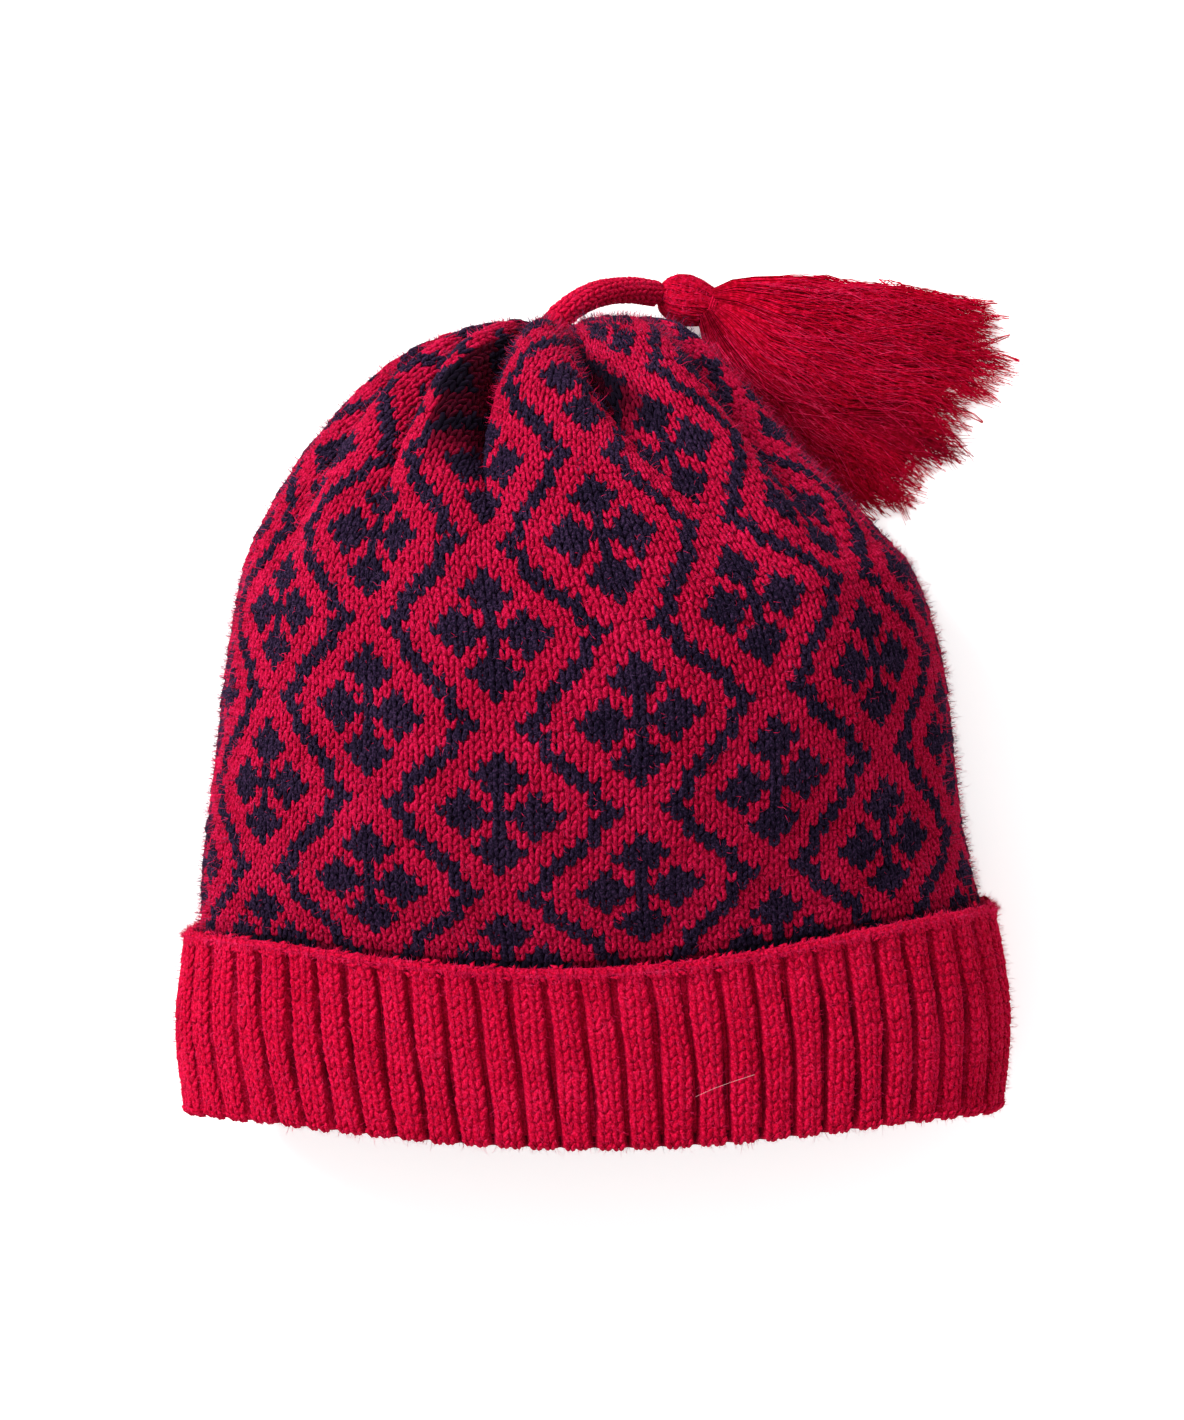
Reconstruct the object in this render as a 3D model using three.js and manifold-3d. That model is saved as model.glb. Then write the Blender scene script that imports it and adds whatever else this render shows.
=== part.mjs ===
// A knitted winter cap that lies on its back: a jacquard crown drawn together into pleats at the
// top, a ribbed brim turned up double, and a tassel on a short knitted cord.
// Millimetres. +X runs to the right of the cap's front, +Y from the brim to the gathered top, and
// +Z up from the surface that the cap lies on, out of its front.
import * as THREE from "three";
import Module from "manifold-3d";
import { mergeVertices } from "three/addons/utils/BufferGeometryUtils.js";

const wasm = await Module();
wasm.setup();

// Knitting: wales are the columns of stitches round the cap, courses its rows.
const WALES = 168;
const COURSE_HEIGHT = 2.6;
const FRONT_WALE = 7; // the wale on the cap's centre line, counted from a motif's axis
const CROWN_WALL = 2.8;
const PLY = 3.0; // one layer of the ribbed brim
const PLY_GAP = 1.1; // between the brim's two layers
const SEAT = 0.3; // clearance between pieces that touch

// Brim
const BRIM_FOLD_COURSE = -54;
const BRIM_HEIGHT = 47;
const INNER_PLY_HEIGHT = 37;
const RIBS = 56;
const RIB_RELIEF = 1.4;
const RIB_PHASE = 1.35; // wales from a motif's axis to the first rib's ridge
const RIB_LEAN = 0.0076; // share of a turn that a rib drifts from the brim's edge to its fold

// The cap's outer skin, one row for each cross-section. left, right: its side edges. base, side,
// top: height of its underside, widest point and front. sag: how far its front hangs towards the
// brim. twist: its turn in the plane it lies in, in degrees. pleat: depth of the gathers.
const SECTION_COLUMNS = ["course", "along", "left", "right", "base", "side", "top", "sag", "twist", "pleat"];
const SECTION_ROWS = [
  [-54, -97.3, -99.8, 100.2, 3.8, 36, 74, 6.6, 0.1, 0],
  [-45, -74, -101.9, 102.3, 3.8, 37, 79, 6.6, 1.2, 0],
  [-36, -48.9, -99.6, 98.2, 3.8, 38, 84, 9.6, 1.9, 0],
  [-27, -29.8, -98.5, 93.7, 1.2, 38, 94, 11, 2.6, 0],
  [-18, -7.8, -96, 91.1, 0, 38, 103, 13.5, 3.2, 0],
  [-9, 14.3, -93.7, 88.1, 0, 38, 109, 14, 3.5, 0.4],
  [0, 35.2, -90.9, 81, 0, 38, 111, 12, 3.5, 1.2],
  [5, 45.2, -88.4, 72.5, 0, 38, 110, 10, 3.2, 2.2],
  [9, 54.6, -84.6, 64.5, 0.5, 37, 108, 8.5, 3, 3.4],
  [18, 72.7, -73.2, 48.8, 2.5, 36, 99, 6, 2.5, 8],
  [27, 90.2, -57.5, 33.9, 8, 36, 85, 3, 3, 12],
  [32, 98, -46.5, 25, 12, 37, 76, 1.5, 4, 12],
  [36, 102, -35.5, 16.5, 17, 37, 65, 0.5, 4, 9],
  [40, 103, -23, 4.5, 26, 37, 50, 0, 2, 4.5],
  [43, 100.5, -15.5, -3.5, 31, 37, 43, 0, 0, 0.6],
];
const SECTIONS = SECTION_ROWS.map((row) => {
  return Object.fromEntries(SECTION_COLUMNS.map((name, i) => [name, row[i]]));
});
const FRONT_ROUNDNESS = 2.1; // exponents of the superellipses of a cross-section's two halves
const BACK_ROUNDNESS = 3.4;
const BACK_PRESS = 1.06; // how far the underside would bulge below the surface that flattens it
const SAG_FALLOFF = 4;
const BACK_SAG_SHARE = 0.4;
const SIDE_CROWDING = 0.1; // how much narrower the stitches are at the cap's sides

// The gathers, one row for each valley. wale: where it is at course 27. lean: wales that it moves
// for each course above that. strength: share of the section's pleat depth.
const VALLEY_COURSE = 27;
const VALLEY_FIXED_BELOW = 9; // the course below which the valleys run straight
const VALLEYS = [
  { wale: -25, lean: 0, strength: 0.8 },
  { wale: -14.5, lean: -0.15, strength: 0.95 },
  { wale: -3.1, lean: -0.27, strength: 1.3 },
  { wale: 16.5, lean: -0.5, strength: 1.2 },
  { wale: 41, lean: 0.2, strength: 0.9 },
  { wale: 53, lean: 0, strength: 0.9 },
  { wale: 66, lean: 0, strength: 1 },
  { wale: 79, lean: 0, strength: 1 },
  { wale: 92, lean: 0, strength: 1 },
  { wale: 105, lean: 0, strength: 1 },
  { wale: 118, lean: 0, strength: 1 },
  { wale: 131, lean: 0, strength: 0.9 },
];
const SHALLOW_PLEAT = 3; // below this depth the inside of the wall follows each pleat
const DEEP_PLEAT = 7; // and above this depth the pleats are bunched solid
const PILLOW = 0.6; // exponent of a deep pleat's arch: the lower, the fuller its flanks

// Facets
const FACETS_PER_PLEAT = 8;
const OUTER_COURSES = [
  -39.65, -36, -31, -26, -20, -13, -6, 0, 4, 7, 11, 15, 19, 23, 27, 30, 33, 36, 38.5, 41, 43,
];
const INNER_COURSES = [29, 24, 18, 11, 4, -5, -14, -23, -32, -39.65];
const ARC_STEPS = 240; // for measuring a section's length
const STEP_FOR_NORMAL = 0.4;

// Cord, from the middle of the gather to the tassel, as the points that it passes through.
const CORD_RADIUS = 3.25;
const CORD_SIDES = 10;
const CORD_STEPS = 18;
const CORD_ROUTE = [
  [-9.8, 102, 36.5],
  [-9.2, 103.4, 36],
  [-7.3, 105.3, 34.8],
  [-3.6, 108.3, 31.5],
  [1.3, 110.9, 26],
  [6.4, 112.2, 20],
  [11.4, 112.6, 14.2],
  [15.8, 112.25, 8.8],
];

// Tassel: a head, a neck bound by a tie, and a fan of locks.
const HEAD_CENTRE = new THREE.Vector3(23.5, 110.9, 6.6);
const HEAD_LENGTH = 14;
const HEAD_RADIUS = 6.3;
const NECK_RADIUS = 4.1;
const NECK_ANGLE = -16; // degrees from +X, the way the tassel points
const NECK_DISTANCE = 7.8; // from the head's centre
const TIE_RADIUS = 0.7;
// angle, length: where the lock's tip lies, seen from the neck. bow: how far its path swings up.
const LOCKS = [
  { angle: 0.5, length: 71, bow: 4.5 },
  { angle: -4.5, length: 76, bow: 4.5 },
  { angle: -10, length: 79, bow: 4 },
  { angle: -16, length: 77, bow: 3 },
  { angle: -22.5, length: 75, bow: 1 },
  { angle: -29, length: 74, bow: 0 },
  { angle: -35.5, length: 73.5, bow: -1 },
  { angle: -42, length: 73, bow: -2 },
  { angle: -48, length: 71, bow: -2 },
  { angle: -53, length: 68, bow: -1 },
];
const LOCK_SIDES = 7;
const LOCK_HALF_WIDTHS = [2.2, 4.8, 5.6, 5.2, 4.5, 3.4, 0.9];
const LOCK_HALF_HEIGHTS = [3.0, 5.6, 6.8, 6.2, 4.6, 2.8, 0.7];
const FLOOR_CLEARANCE = 0.1;

const radians = THREE.MathUtils.degToRad;

// The way from the tassel's head to its locks, and the middle of its neck.
const NECK_WAY = new THREE.Vector3(Math.cos(radians(NECK_ANGLE)), Math.sin(radians(NECK_ANGLE)), 0);
const NECK = HEAD_CENTRE.clone().addScaledVector(NECK_WAY, NECK_DISTANCE);

/** A table column's value at a course, on a smooth curve through the rows. */
function tableValue(table, name, course) {
  const last = table.length - 1;
  const next = table.findIndex((row) => row.course >= course);
  const high = Math.min(Math.max(next === -1 ? last : next, 1), last);
  const low = high - 1;
  const slope = (i, j) => (table[j][name] - table[i][name]) / (table[j].course - table[i].course);
  const tangent = (i) => slope(Math.max(i - 1, 0), Math.min(i + 1, last));
  const span = table[high].course - table[low].course;
  const t = THREE.MathUtils.clamp((course - table[low].course) / span, 0, 1);
  const t2 = t * t;
  const t3 = t2 * t;
  return (
    (2 * t3 - 3 * t2 + 1) * table[low][name] +
    (t3 - 2 * t2 + t) * span * tangent(low) +
    (3 * t2 - 2 * t3) * table[high][name] +
    (t3 - t2) * span * tangent(high)
  );
}

const sectionCache = new Map();

/** The cross-section at a course: its sizes, and its outline's length up to each step round it. */
function sectionAt(course) {
  if (!sectionCache.has(course)) {
    const section = {};
    for (const name of Object.keys(SECTIONS[0])) section[name] = tableValue(SECTIONS, name, course);
    section.middle = (section.left + section.right) / 2;
    section.reach = [0];
    let before = outline(section, 0);
    for (let i = 1; i <= ARC_STEPS; i++) {
      const here = outline(section, i / ARC_STEPS);
      section.reach.push(section.reach[i - 1] + here.distanceTo(before));
      before = here;
    }
    sectionCache.set(course, section);
  }
  return sectionCache.get(course);
}

/** A point of a section's outline, turn 0 at the middle of the front and 0.25 at the right side. */
function outline(section, turn) {
  const angle = turn * 2 * Math.PI;
  const across = Math.sin(angle);
  const up = Math.cos(angle);
  const isFront = up >= 0;
  const power = 2 / (isFront ? FRONT_ROUNDNESS : BACK_ROUNDNESS);
  const reach = across >= 0 ? section.right - section.middle : section.left - section.middle;
  const x = section.middle + reach * Math.abs(across) ** power;
  const rise = isFront ? section.top - section.side : (section.base - section.side) * BACK_PRESS;
  const z = Math.max(section.side + rise * Math.abs(up) ** power, section.base);
  const share = isFront
    ? (z - section.side) / (section.top - section.side)
    : (section.side - z) / (section.side - section.base);
  const hang = isFront ? -section.sag * share ** SAG_FALLOFF : BACK_SAG_SHARE * section.sag * share;
  const y = section.along + hang + (x - section.middle) * Math.tan(radians(section.twist));
  return new THREE.Vector3(x, y, z);
}

/** The share of the outline's length, from the middle of the front, that a wale lies at. */
function shareOfWale(wale) {
  const turn = (wale - FRONT_WALE) / WALES;
  const angle = 2 * Math.PI * turn;
  const crowding = Math.sin(2 * angle) / (4 * Math.PI) - Math.sin(angle) / (2 * Math.PI);
  return turn + SIDE_CROWDING * crowding;
}

/** A point of the cap's smooth skin, before its pleats. */
function skinPoint(course, wale) {
  const section = sectionAt(course);
  const share = THREE.MathUtils.euclideanModulo(shareOfWale(wale), 1);
  const wanted = share * section.reach[ARC_STEPS];
  const step = Math.max(section.reach.findIndex((reach) => reach >= wanted), 1);
  const part = (wanted - section.reach[step - 1]) / (section.reach[step] - section.reach[step - 1]);
  return outline(section, (step - 1 + part) / ARC_STEPS);
}

/** The way out of the skin at a point. */
function skinNormal(course, wale) {
  const low = Math.max(course - STEP_FOR_NORMAL, BRIM_FOLD_COURSE);
  const high = Math.min(course + STEP_FOR_NORMAL, SECTIONS.at(-1).course);
  const alongCap = skinPoint(high, wale).sub(skinPoint(low, wale));
  const roundCap = skinPoint(course, wale + STEP_FOR_NORMAL).sub(skinPoint(course, wale - STEP_FOR_NORMAL));
  return roundCap.cross(alongCap).normalize();
}

/** A valley's wale at a course. */
function valleyWale(index, course) {
  const turns = Math.floor(index / VALLEYS.length);
  const valley = VALLEYS[index - turns * VALLEYS.length];
  const above = Math.max(course, VALLEY_FIXED_BELOW) - VALLEY_COURSE;
  return valley.wale + valley.lean * above + turns * WALES;
}

/** How deep the skin is drawn in at a place between two valleys, where place runs from -1 to 1. */
function pleatDepth(course, pleat, place) {
  const valley = VALLEYS[(place < 0 ? pleat : pleat + 1) % VALLEYS.length];
  const depth = sectionAt(course).pleat * valley.strength;
  const isDeep = THREE.MathUtils.smoothstep(sectionAt(course).pleat, SHALLOW_PLEAT, DEEP_PLEAT);
  const shallow = ((1 - Math.cos(Math.PI * place)) / 2) ** 1.6;
  const deep = 1 - Math.cos((place * Math.PI) / 2) ** PILLOW;
  return depth * (shallow + (deep - shallow) * isDeep);
}

/** One ring of the crown at a course, inset from its skin. */
function crownRing(course, inset) {
  const ring = [];
  for (let pleat = 0; pleat < VALLEYS.length; pleat++) {
    const from = valleyWale(pleat, course);
    const to = valleyWale(pleat + 1, course);
    for (let i = 0; i < FACETS_PER_PLEAT; i++) {
      const place = (2 * i) / FACETS_PER_PLEAT - 1;
      const wale = from + ((to - from) * i) / FACETS_PER_PLEAT;
      const own = pleatDepth(course, pleat, place);
      const bunched = THREE.MathUtils.smoothstep(sectionAt(course).pleat, SHALLOW_PLEAT, DEEP_PLEAT);
      const bunch = Math.max(sectionAt(course).pleat - own, 0) * bunched;
      const depth = inset > 0 ? own + bunch : own;
      const point = skinPoint(course, wale).addScaledVector(skinNormal(course, wale), -depth - inset);
      if (inset === 0) point.z = Math.max(point.z, sectionAt(course).base, 0);
      ring.push(point);
    }
  }
  return ring;
}

/** A closed surface through rings of points: a tube with a point at each end, or a loop of rings. */
function loft(rings, isLoop) {
  const size = rings[0].length;
  const corners = rings.flat().flatMap((point) => point.toArray());
  const faces = [];
  for (let i = 0; i < rings.length - (isLoop ? 0 : 1); i++) {
    const here = i * size;
    const next = ((i + 1) % rings.length) * size;
    for (let j = 0; j < size; j++) {
      const k = (j + 1) % size;
      faces.push(here + j, here + k, next + k, here + j, next + k, next + j);
    }
  }
  if (!isLoop) {
    for (const [ring, isFirst] of [[0, true], [rings.length - 1, false]]) {
      const centre = new THREE.Vector3();
      for (const point of rings[ring]) centre.addScaledVector(point, 1 / size);
      const tip = corners.length / 3;
      corners.push(...centre.toArray());
      for (let j = 0; j < size; j++) {
        const here = ring * size + j;
        const next = ring * size + ((j + 1) % size);
        faces.push(...(isFirst ? [next, here, tip] : [here, next, tip]));
      }
    }
  }
  const geometry = new THREE.BufferGeometry();
  geometry.setAttribute("position", new THREE.Float32BufferAttribute(corners, 3));
  geometry.setIndex(faces);
  geometry.computeVertexNormals();
  return geometry;
}

/** The crown: an open bag whose wall ends under the brim's edge. */
function crownGeometry() {
  const inside = INNER_COURSES.map((course) => crownRing(course, CROWN_WALL));
  const outside = OUTER_COURSES.map((course) => crownRing(course, 0));
  return loft([...inside, ...outside], false);
}

/** The brim's two layers in section: height above the fold, distance out from the crown's skin. */
function brimProfile() {
  const inner = -SEAT;
  const outer = PLY_GAP - SEAT;
  const round = 3.2;
  return [
    { height: BRIM_HEIGHT - 0.4, out: outer, ribbed: 0 },
    { height: BRIM_HEIGHT, out: outer + PLY / 2, ribbed: 0 },
    { height: BRIM_HEIGHT - 1.2, out: outer + PLY, ribbed: 1 },
    { height: BRIM_HEIGHT / 2, out: outer + PLY, ribbed: 1 },
    { height: round, out: outer + PLY, ribbed: 1 },
    { height: round * 0.28, out: outer + PLY * 0.7, ribbed: 1 },
    { height: 0, out: 0, ribbed: 0 },
    { height: round * 0.28, out: inner - PLY * 0.65, ribbed: 0 },
    { height: round, out: inner - CROWN_WALL, ribbed: 0 },
    { height: BRIM_HEIGHT / 2, out: inner - CROWN_WALL, ribbed: 0 },
    { height: INNER_PLY_HEIGHT, out: inner - CROWN_WALL, ribbed: 0 },
    { height: INNER_PLY_HEIGHT, out: inner, ribbed: 0 },
    { height: round, out: inner, ribbed: 0 },
    { height: round, out: outer, ribbed: 0 },
    { height: INNER_PLY_HEIGHT, out: outer, ribbed: 0 },
  ];
}

/** The brim: a ribbed band folded double, with a ridge and a groove for each rib. */
function brimGeometry() {
  const rings = brimProfile().map(({ height, out, ribbed }) => {
    const course = BRIM_FOLD_COURSE + height / COURSE_HEIGHT;
    const lean = RIB_LEAN * WALES * (1 - height / BRIM_HEIGHT);
    const ring = [];
    for (let i = 0; i < 2 * RIBS; i++) {
      const wale = RIB_PHASE + (i * WALES) / (2 * RIBS) + lean;
      const groove = i % 2 === 1 ? RIB_RELIEF * ribbed : 0;
      const point = skinPoint(course, wale).addScaledVector(skinNormal(course, wale), out - groove);
      point.z = Math.max(point.z, 0);
      ring.push(point);
    }
    return ring;
  });
  return loft(rings.reverse(), true);
}

/** The knitted cord, a round tube along its route. */
function cordGeometry() {
  const route = new THREE.CatmullRomCurve3(CORD_ROUTE.map((point) => new THREE.Vector3(...point)));
  const section = new THREE.Shape();
  for (let i = 0; i < CORD_SIDES; i++) {
    const angle = (i * 2 * Math.PI) / CORD_SIDES;
    const corner = [CORD_RADIUS * Math.cos(angle), CORD_RADIUS * Math.sin(angle)];
    if (i === 0) section.moveTo(...corner);
    else section.lineTo(...corner);
  }
  return new THREE.ExtrudeGeometry(section, { steps: CORD_STEPS, extrudePath: route, bevelEnabled: false });
}

/** A geometry as a solid that manifold-3d can join. */
function solidOf(geometry) {
  const bare = geometry.clone();
  bare.deleteAttribute("normal");
  bare.deleteAttribute("uv");
  const merged = mergeVertices(bare, 1e-4);
  return new wasm.Manifold(
    new wasm.Mesh({
      numProp: 3,
      vertProperties: merged.attributes.position.array,
      triVerts: new Uint32Array(merged.index.array),
    }),
  );
}

/** A joined solid as a geometry. */
function geometryOf(solid) {
  const mesh = solid.getMesh();
  const geometry = new THREE.BufferGeometry();
  geometry.setAttribute("position", new THREE.Float32BufferAttribute(mesh.vertProperties, mesh.numProp));
  geometry.setIndex(new THREE.BufferAttribute(mesh.triVerts, 1));
  geometry.computeVertexNormals();
  return geometry;
}

/** The point at a distance and an angle from another, at the same height. */
function levelPoint(from, distance, angle) {
  return new THREE.Vector3(
    from.x + distance * Math.cos(angle),
    from.y + distance * Math.sin(angle),
    from.z,
  );
}

/** One lock of yarn: a flat, tapering tube from the neck to its tip. */
function lockGeometry({ angle, length, bow }) {
  const start = NECK.clone();
  const swing = radians(angle + bow * 1.6);
  const tip = levelPoint(NECK, length, radians(angle));
  const bend = levelPoint(NECK, 0.42 * length, swing);
  const path = new THREE.QuadraticBezierCurve3(start, bend, tip);
  const rings = LOCK_HALF_WIDTHS.map((halfWidth, i) => {
    const t = i / (LOCK_HALF_WIDTHS.length - 1);
    const halfHeight = LOCK_HALF_HEIGHTS[i];
    const centre = path.getPoint(t);
    const way = path.getTangent(t);
    const side = new THREE.Vector3(-way.y, way.x, 0).normalize();
    centre.z = i === 0 ? HEAD_CENTRE.z : halfHeight + FLOOR_CLEARANCE;
    const ring = [];
    for (let j = 0; j < LOCK_SIDES; j++) {
      const turn = ((j + 0.5) * 2 * Math.PI) / LOCK_SIDES;
      const point = centre.clone().addScaledVector(side, halfWidth * Math.cos(turn));
      point.z += halfHeight * Math.sin(turn);
      ring.push(point);
    }
    return ring;
  });
  return loft(rings, false);
}

/** The tassel's head and neck, turned about the neck's line. */
function headGeometry() {
  const steps = 7;
  const neckEnd = NECK_DISTANCE + 3;
  const profile = [];
  for (let i = 0; i <= steps; i++) {
    const angle = Math.PI * (i / steps) * 0.82;
    profile.push(new THREE.Vector2(HEAD_RADIUS * Math.sin(angle), -(HEAD_LENGTH / 2) * Math.cos(angle)));
  }
  profile.push(new THREE.Vector2(NECK_RADIUS, NECK_DISTANCE - TIE_RADIUS));
  profile.push(new THREE.Vector2(NECK_RADIUS, neckEnd));
  profile.push(new THREE.Vector2(0, neckEnd));
  profile[0].x = 0;
  return alongNeck(new THREE.LatheGeometry(profile, 14), HEAD_CENTRE);
}

/** Turns a shape made along +Y to lie along the neck, at a point. */
function alongNeck(geometry, point) {
  const turn = new THREE.Quaternion().setFromUnitVectors(new THREE.Vector3(0, 1, 0), NECK_WAY);
  return geometry.applyQuaternion(turn).translate(point.x, point.y, point.z);
}

/** The tassel: its head, its neck and its locks as one bundle. */
function tasselGeometry() {
  let bundle = solidOf(headGeometry());
  for (const lock of LOCKS) bundle = bundle.add(solidOf(lockGeometry(lock)));
  const tieSeat = alongNeck(tieProfile(NECK_RADIUS + 2 * TIE_RADIUS + 6, SEAT), NECK);
  return geometryOf(bundle.subtract(solidOf(tieSeat)));
}

/** A ring round the neck, from the neck's surface out to a radius. */
function tieProfile(outerRadius, clearance) {
  const inner = NECK_RADIUS + SEAT - clearance;
  const half = TIE_RADIUS + clearance;
  const profile = [
    [inner, -half],
    [outerRadius, -half],
    [outerRadius, half],
    [inner, half],
    [inner, -half],
  ].map(([x, y]) => new THREE.Vector2(x, y));
  return new THREE.LatheGeometry(profile, 14);
}

const crimsonKnit = new THREE.MeshStandardMaterial({ color: "#c4143f", roughness: 0.95, metalness: 0 });
const ribKnit = new THREE.MeshStandardMaterial({ color: "#c41440", roughness: 0.95, metalness: 0 });
const cordYarn = new THREE.MeshStandardMaterial({ color: "#b8133c", roughness: 0.95, metalness: 0 });
const tasselYarn = new THREE.MeshStandardMaterial({ color: "#b4103c", roughness: 0.9, metalness: 0 });

const cap = new THREE.Group();

/** Adds a named piece to the cap. */
function addPiece(name, geometry, material) {
  const piece = new THREE.Mesh(geometry, material);
  piece.name = name;
  cap.add(piece);
}

addPiece("crown", crownGeometry(), crimsonKnit);
addPiece("ribbed_brim", brimGeometry(), ribKnit);
addPiece("tassel_cord", cordGeometry(), cordYarn);
addPiece("tassel", tasselGeometry(), tasselYarn);
addPiece("tassel_tie", alongNeck(tieProfile(NECK_RADIUS + 2 * TIE_RADIUS, 0), NECK), tasselYarn);

export default cap;
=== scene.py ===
"""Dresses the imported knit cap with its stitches, ribs, cord, tassel strands and wool fuzz.

The form's numbers are the part's own, in millimetres; the meshes are in metres in the same frame.
"""

import logging
import math
from dataclasses import dataclass, field
from enum import Enum

import bmesh
import bpy
import numpy as np
from mathutils import Matrix


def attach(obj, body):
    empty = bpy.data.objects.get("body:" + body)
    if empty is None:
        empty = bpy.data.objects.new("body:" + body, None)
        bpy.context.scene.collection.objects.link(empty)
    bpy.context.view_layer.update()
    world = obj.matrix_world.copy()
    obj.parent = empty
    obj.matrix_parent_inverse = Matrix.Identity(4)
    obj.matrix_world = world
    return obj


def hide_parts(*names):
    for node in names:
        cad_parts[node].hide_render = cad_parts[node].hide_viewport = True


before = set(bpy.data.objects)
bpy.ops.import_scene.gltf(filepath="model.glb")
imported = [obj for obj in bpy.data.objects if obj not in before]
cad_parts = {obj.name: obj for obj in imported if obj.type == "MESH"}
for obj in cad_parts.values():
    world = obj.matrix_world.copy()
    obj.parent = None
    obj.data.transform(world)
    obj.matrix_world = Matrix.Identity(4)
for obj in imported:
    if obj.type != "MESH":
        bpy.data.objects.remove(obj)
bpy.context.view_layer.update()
LOG = logging.getLogger("knit_cap")

MM = 0.001
SEED = 20
FIBRE_ASPECT = 0.04
# Where a surface's normal rises less than this, the surface is at the cap's outline.
RIM_SLOPE = 0.5

# Knitting. A wale is a column of stitches and a course is a row of them.
WALES = 168
COURSE_HEIGHT = 2.6
FRONT_WALE = 7.0
CROWN_WALL = 2.8
PLY = 3.0
PLY_GAP = 1.1
SEAT = 0.3
LOWEST_YARN = 0.75
LOWEST_FUZZ = 2.5

# Brim
BRIM_FOLD_COURSE = -54
BRIM_HEIGHT = 47.0
INNER_PLY_HEIGHT = 37.0
RIBS = 56
RIB_WALES = WALES // RIBS
RIB_PHASE = 1.35
RIB_LEAN = 0.0076

# One row for each cross-section of the cap's skin, with the names of the columns first.
SECTION_COLUMNS = ("course", "along", "left", "right", "base", "side", "top", "sag", "twist", "pleat")
SECTION_ROWS = (
    (-54, -97.3, -99.8, 100.2, 3.8, 36, 74, 6.6, 0.1, 0),
    (-45, -74.0, -101.9, 102.3, 3.8, 37, 79, 6.6, 1.2, 0),
    (-36, -48.9, -99.6, 98.2, 3.8, 38, 84, 9.6, 1.9, 0),
    (-27, -29.8, -98.5, 93.7, 1.2, 38, 94, 11, 2.6, 0),
    (-18, -7.8, -96.0, 91.1, 0, 38, 103, 13.5, 3.2, 0),
    (-9, 14.3, -93.7, 88.1, 0, 38, 109, 14, 3.5, 0.4),
    (0, 35.2, -90.9, 81.0, 0, 38, 111, 12, 3.5, 1.2),
    (5, 45.2, -88.4, 72.5, 0, 38, 110, 10, 3.2, 2.2),
    (9, 54.6, -84.6, 64.5, 0.5, 37, 108, 8.5, 3.0, 3.4),
    (18, 72.7, -73.2, 48.8, 2.5, 36, 99, 6, 2.5, 8),
    (27, 90.2, -57.5, 33.9, 8, 36, 85, 3, 3.0, 12),
    (32, 98.0, -46.5, 25.0, 12, 37, 76, 1.5, 4.0, 12),
    (36, 102.0, -35.5, 16.5, 17, 37, 65, 0.5, 4.0, 9),
    (40, 103.0, -23.0, 4.5, 26, 37, 50, 0, 2.0, 4.5),
    (43, 100.5, -15.5, -3.5, 31, 37, 43, 0, 0, 0.6),
)
FRONT_ROUNDNESS = 2.1
BACK_ROUNDNESS = 3.4
BACK_PRESS = 1.06
SAG_FALLOFF = 4
BACK_SAG_SHARE = 0.4
SIDE_CROWDING = 0.1

# One row for each valley between two gathers.
VALLEY_COURSE = 27
VALLEY_FIXED_BELOW = 9
VALLEY_COLUMNS = ("wale", "lean", "strength")
VALLEY_ROWS = (
    (-25, 0, 0.8),
    (-14.5, -0.15, 0.95),
    (-3.1, -0.27, 1.3),
    (16.5, -0.5, 1.2),
    (41, 0.2, 0.9),
    (53, 0, 0.9),
    (66, 0, 1),
    (79, 0, 1),
    (92, 0, 1),
    (105, 0, 1),
    (118, 0, 1),
    (131, 0, 0.9),
)
# How far the dark of each valley reaches to its left and right, in wales, the share of it that fades, and the
# course above which it lies.
VALLEY_SHADE_COLUMNS = ("left", "right", "fade", "start")
NARROW_SHADE = (1.2, 1.2, 0.8, 17)
VALLEY_SHADE_ROWS = (
    NARROW_SHADE,
    (1.8, 1.2, 0.8, 17),
    (7.0, 0.8, 0.16, 17),
    (0.8, 7.5, 0.5, 21),
    *(NARROW_SHADE,) * 8,
)
SHALLOW_PLEAT = 3
DEEP_PLEAT = 7
SHALLOW_POWER = 1.6
PILLOW = 0.6
HEM_COURSE = -39.65
TOP_COURSE = 43

# Jacquard: motifs stand on a half-drop lattice. The trellis has its line's columns for each row away from a
# motif's middle.
REPEAT_WALES = 24
REPEAT_COURSES = 18
PETALS = ((0, 4), (0, -4), (3, 0), (-3, 0))
PETAL_REACH = 2
STEM_REACH = 1
TRELLIS = ((9, 10), (8, 9), (8,), (7, 8), (6, 7), (5, 6), (4, 5), (4,), (3, 4), (2, 3))

# Cord and tassel
CORD_DIAMETER = 6.5
CORD_ROUTE = (
    (-11.4, 99.9, 36.6),
    (-9.8, 102.0, 36.5),
    (-9.2, 103.4, 36.0),
    (-7.3, 105.3, 34.8),
    (-3.6, 108.3, 31.5),
    (1.3, 110.9, 26.0),
    (6.4, 112.2, 20.0),
    (11.4, 112.6, 14.2),
    (15.8, 112.25, 8.8),
    (17.6, 112.0, 7.6),
)
HEAD_CENTRE = (23.5, 110.9, 6.6)
HEAD_LENGTH = 14.0
NECK_RADIUS = 4.1
NECK_ANGLE = -16.0
NECK_DISTANCE = 7.8
FAN_DROOP = 5.5
LOCK_COLUMNS = ("angle", "length", "bow")
LOCK_ROWS = (
    (0.5, 71, 4.5),
    (-4.5, 76, 4.5),
    (-10, 79, 4),
    (-16, 77, 3),
    (-22.5, 75, 1),
    (-29, 74, 0),
    (-35.5, 73.5, -1),
    (-42, 73, -2),
    (-48, 71, -2),
    (-53, 68, -1),
)

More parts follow.
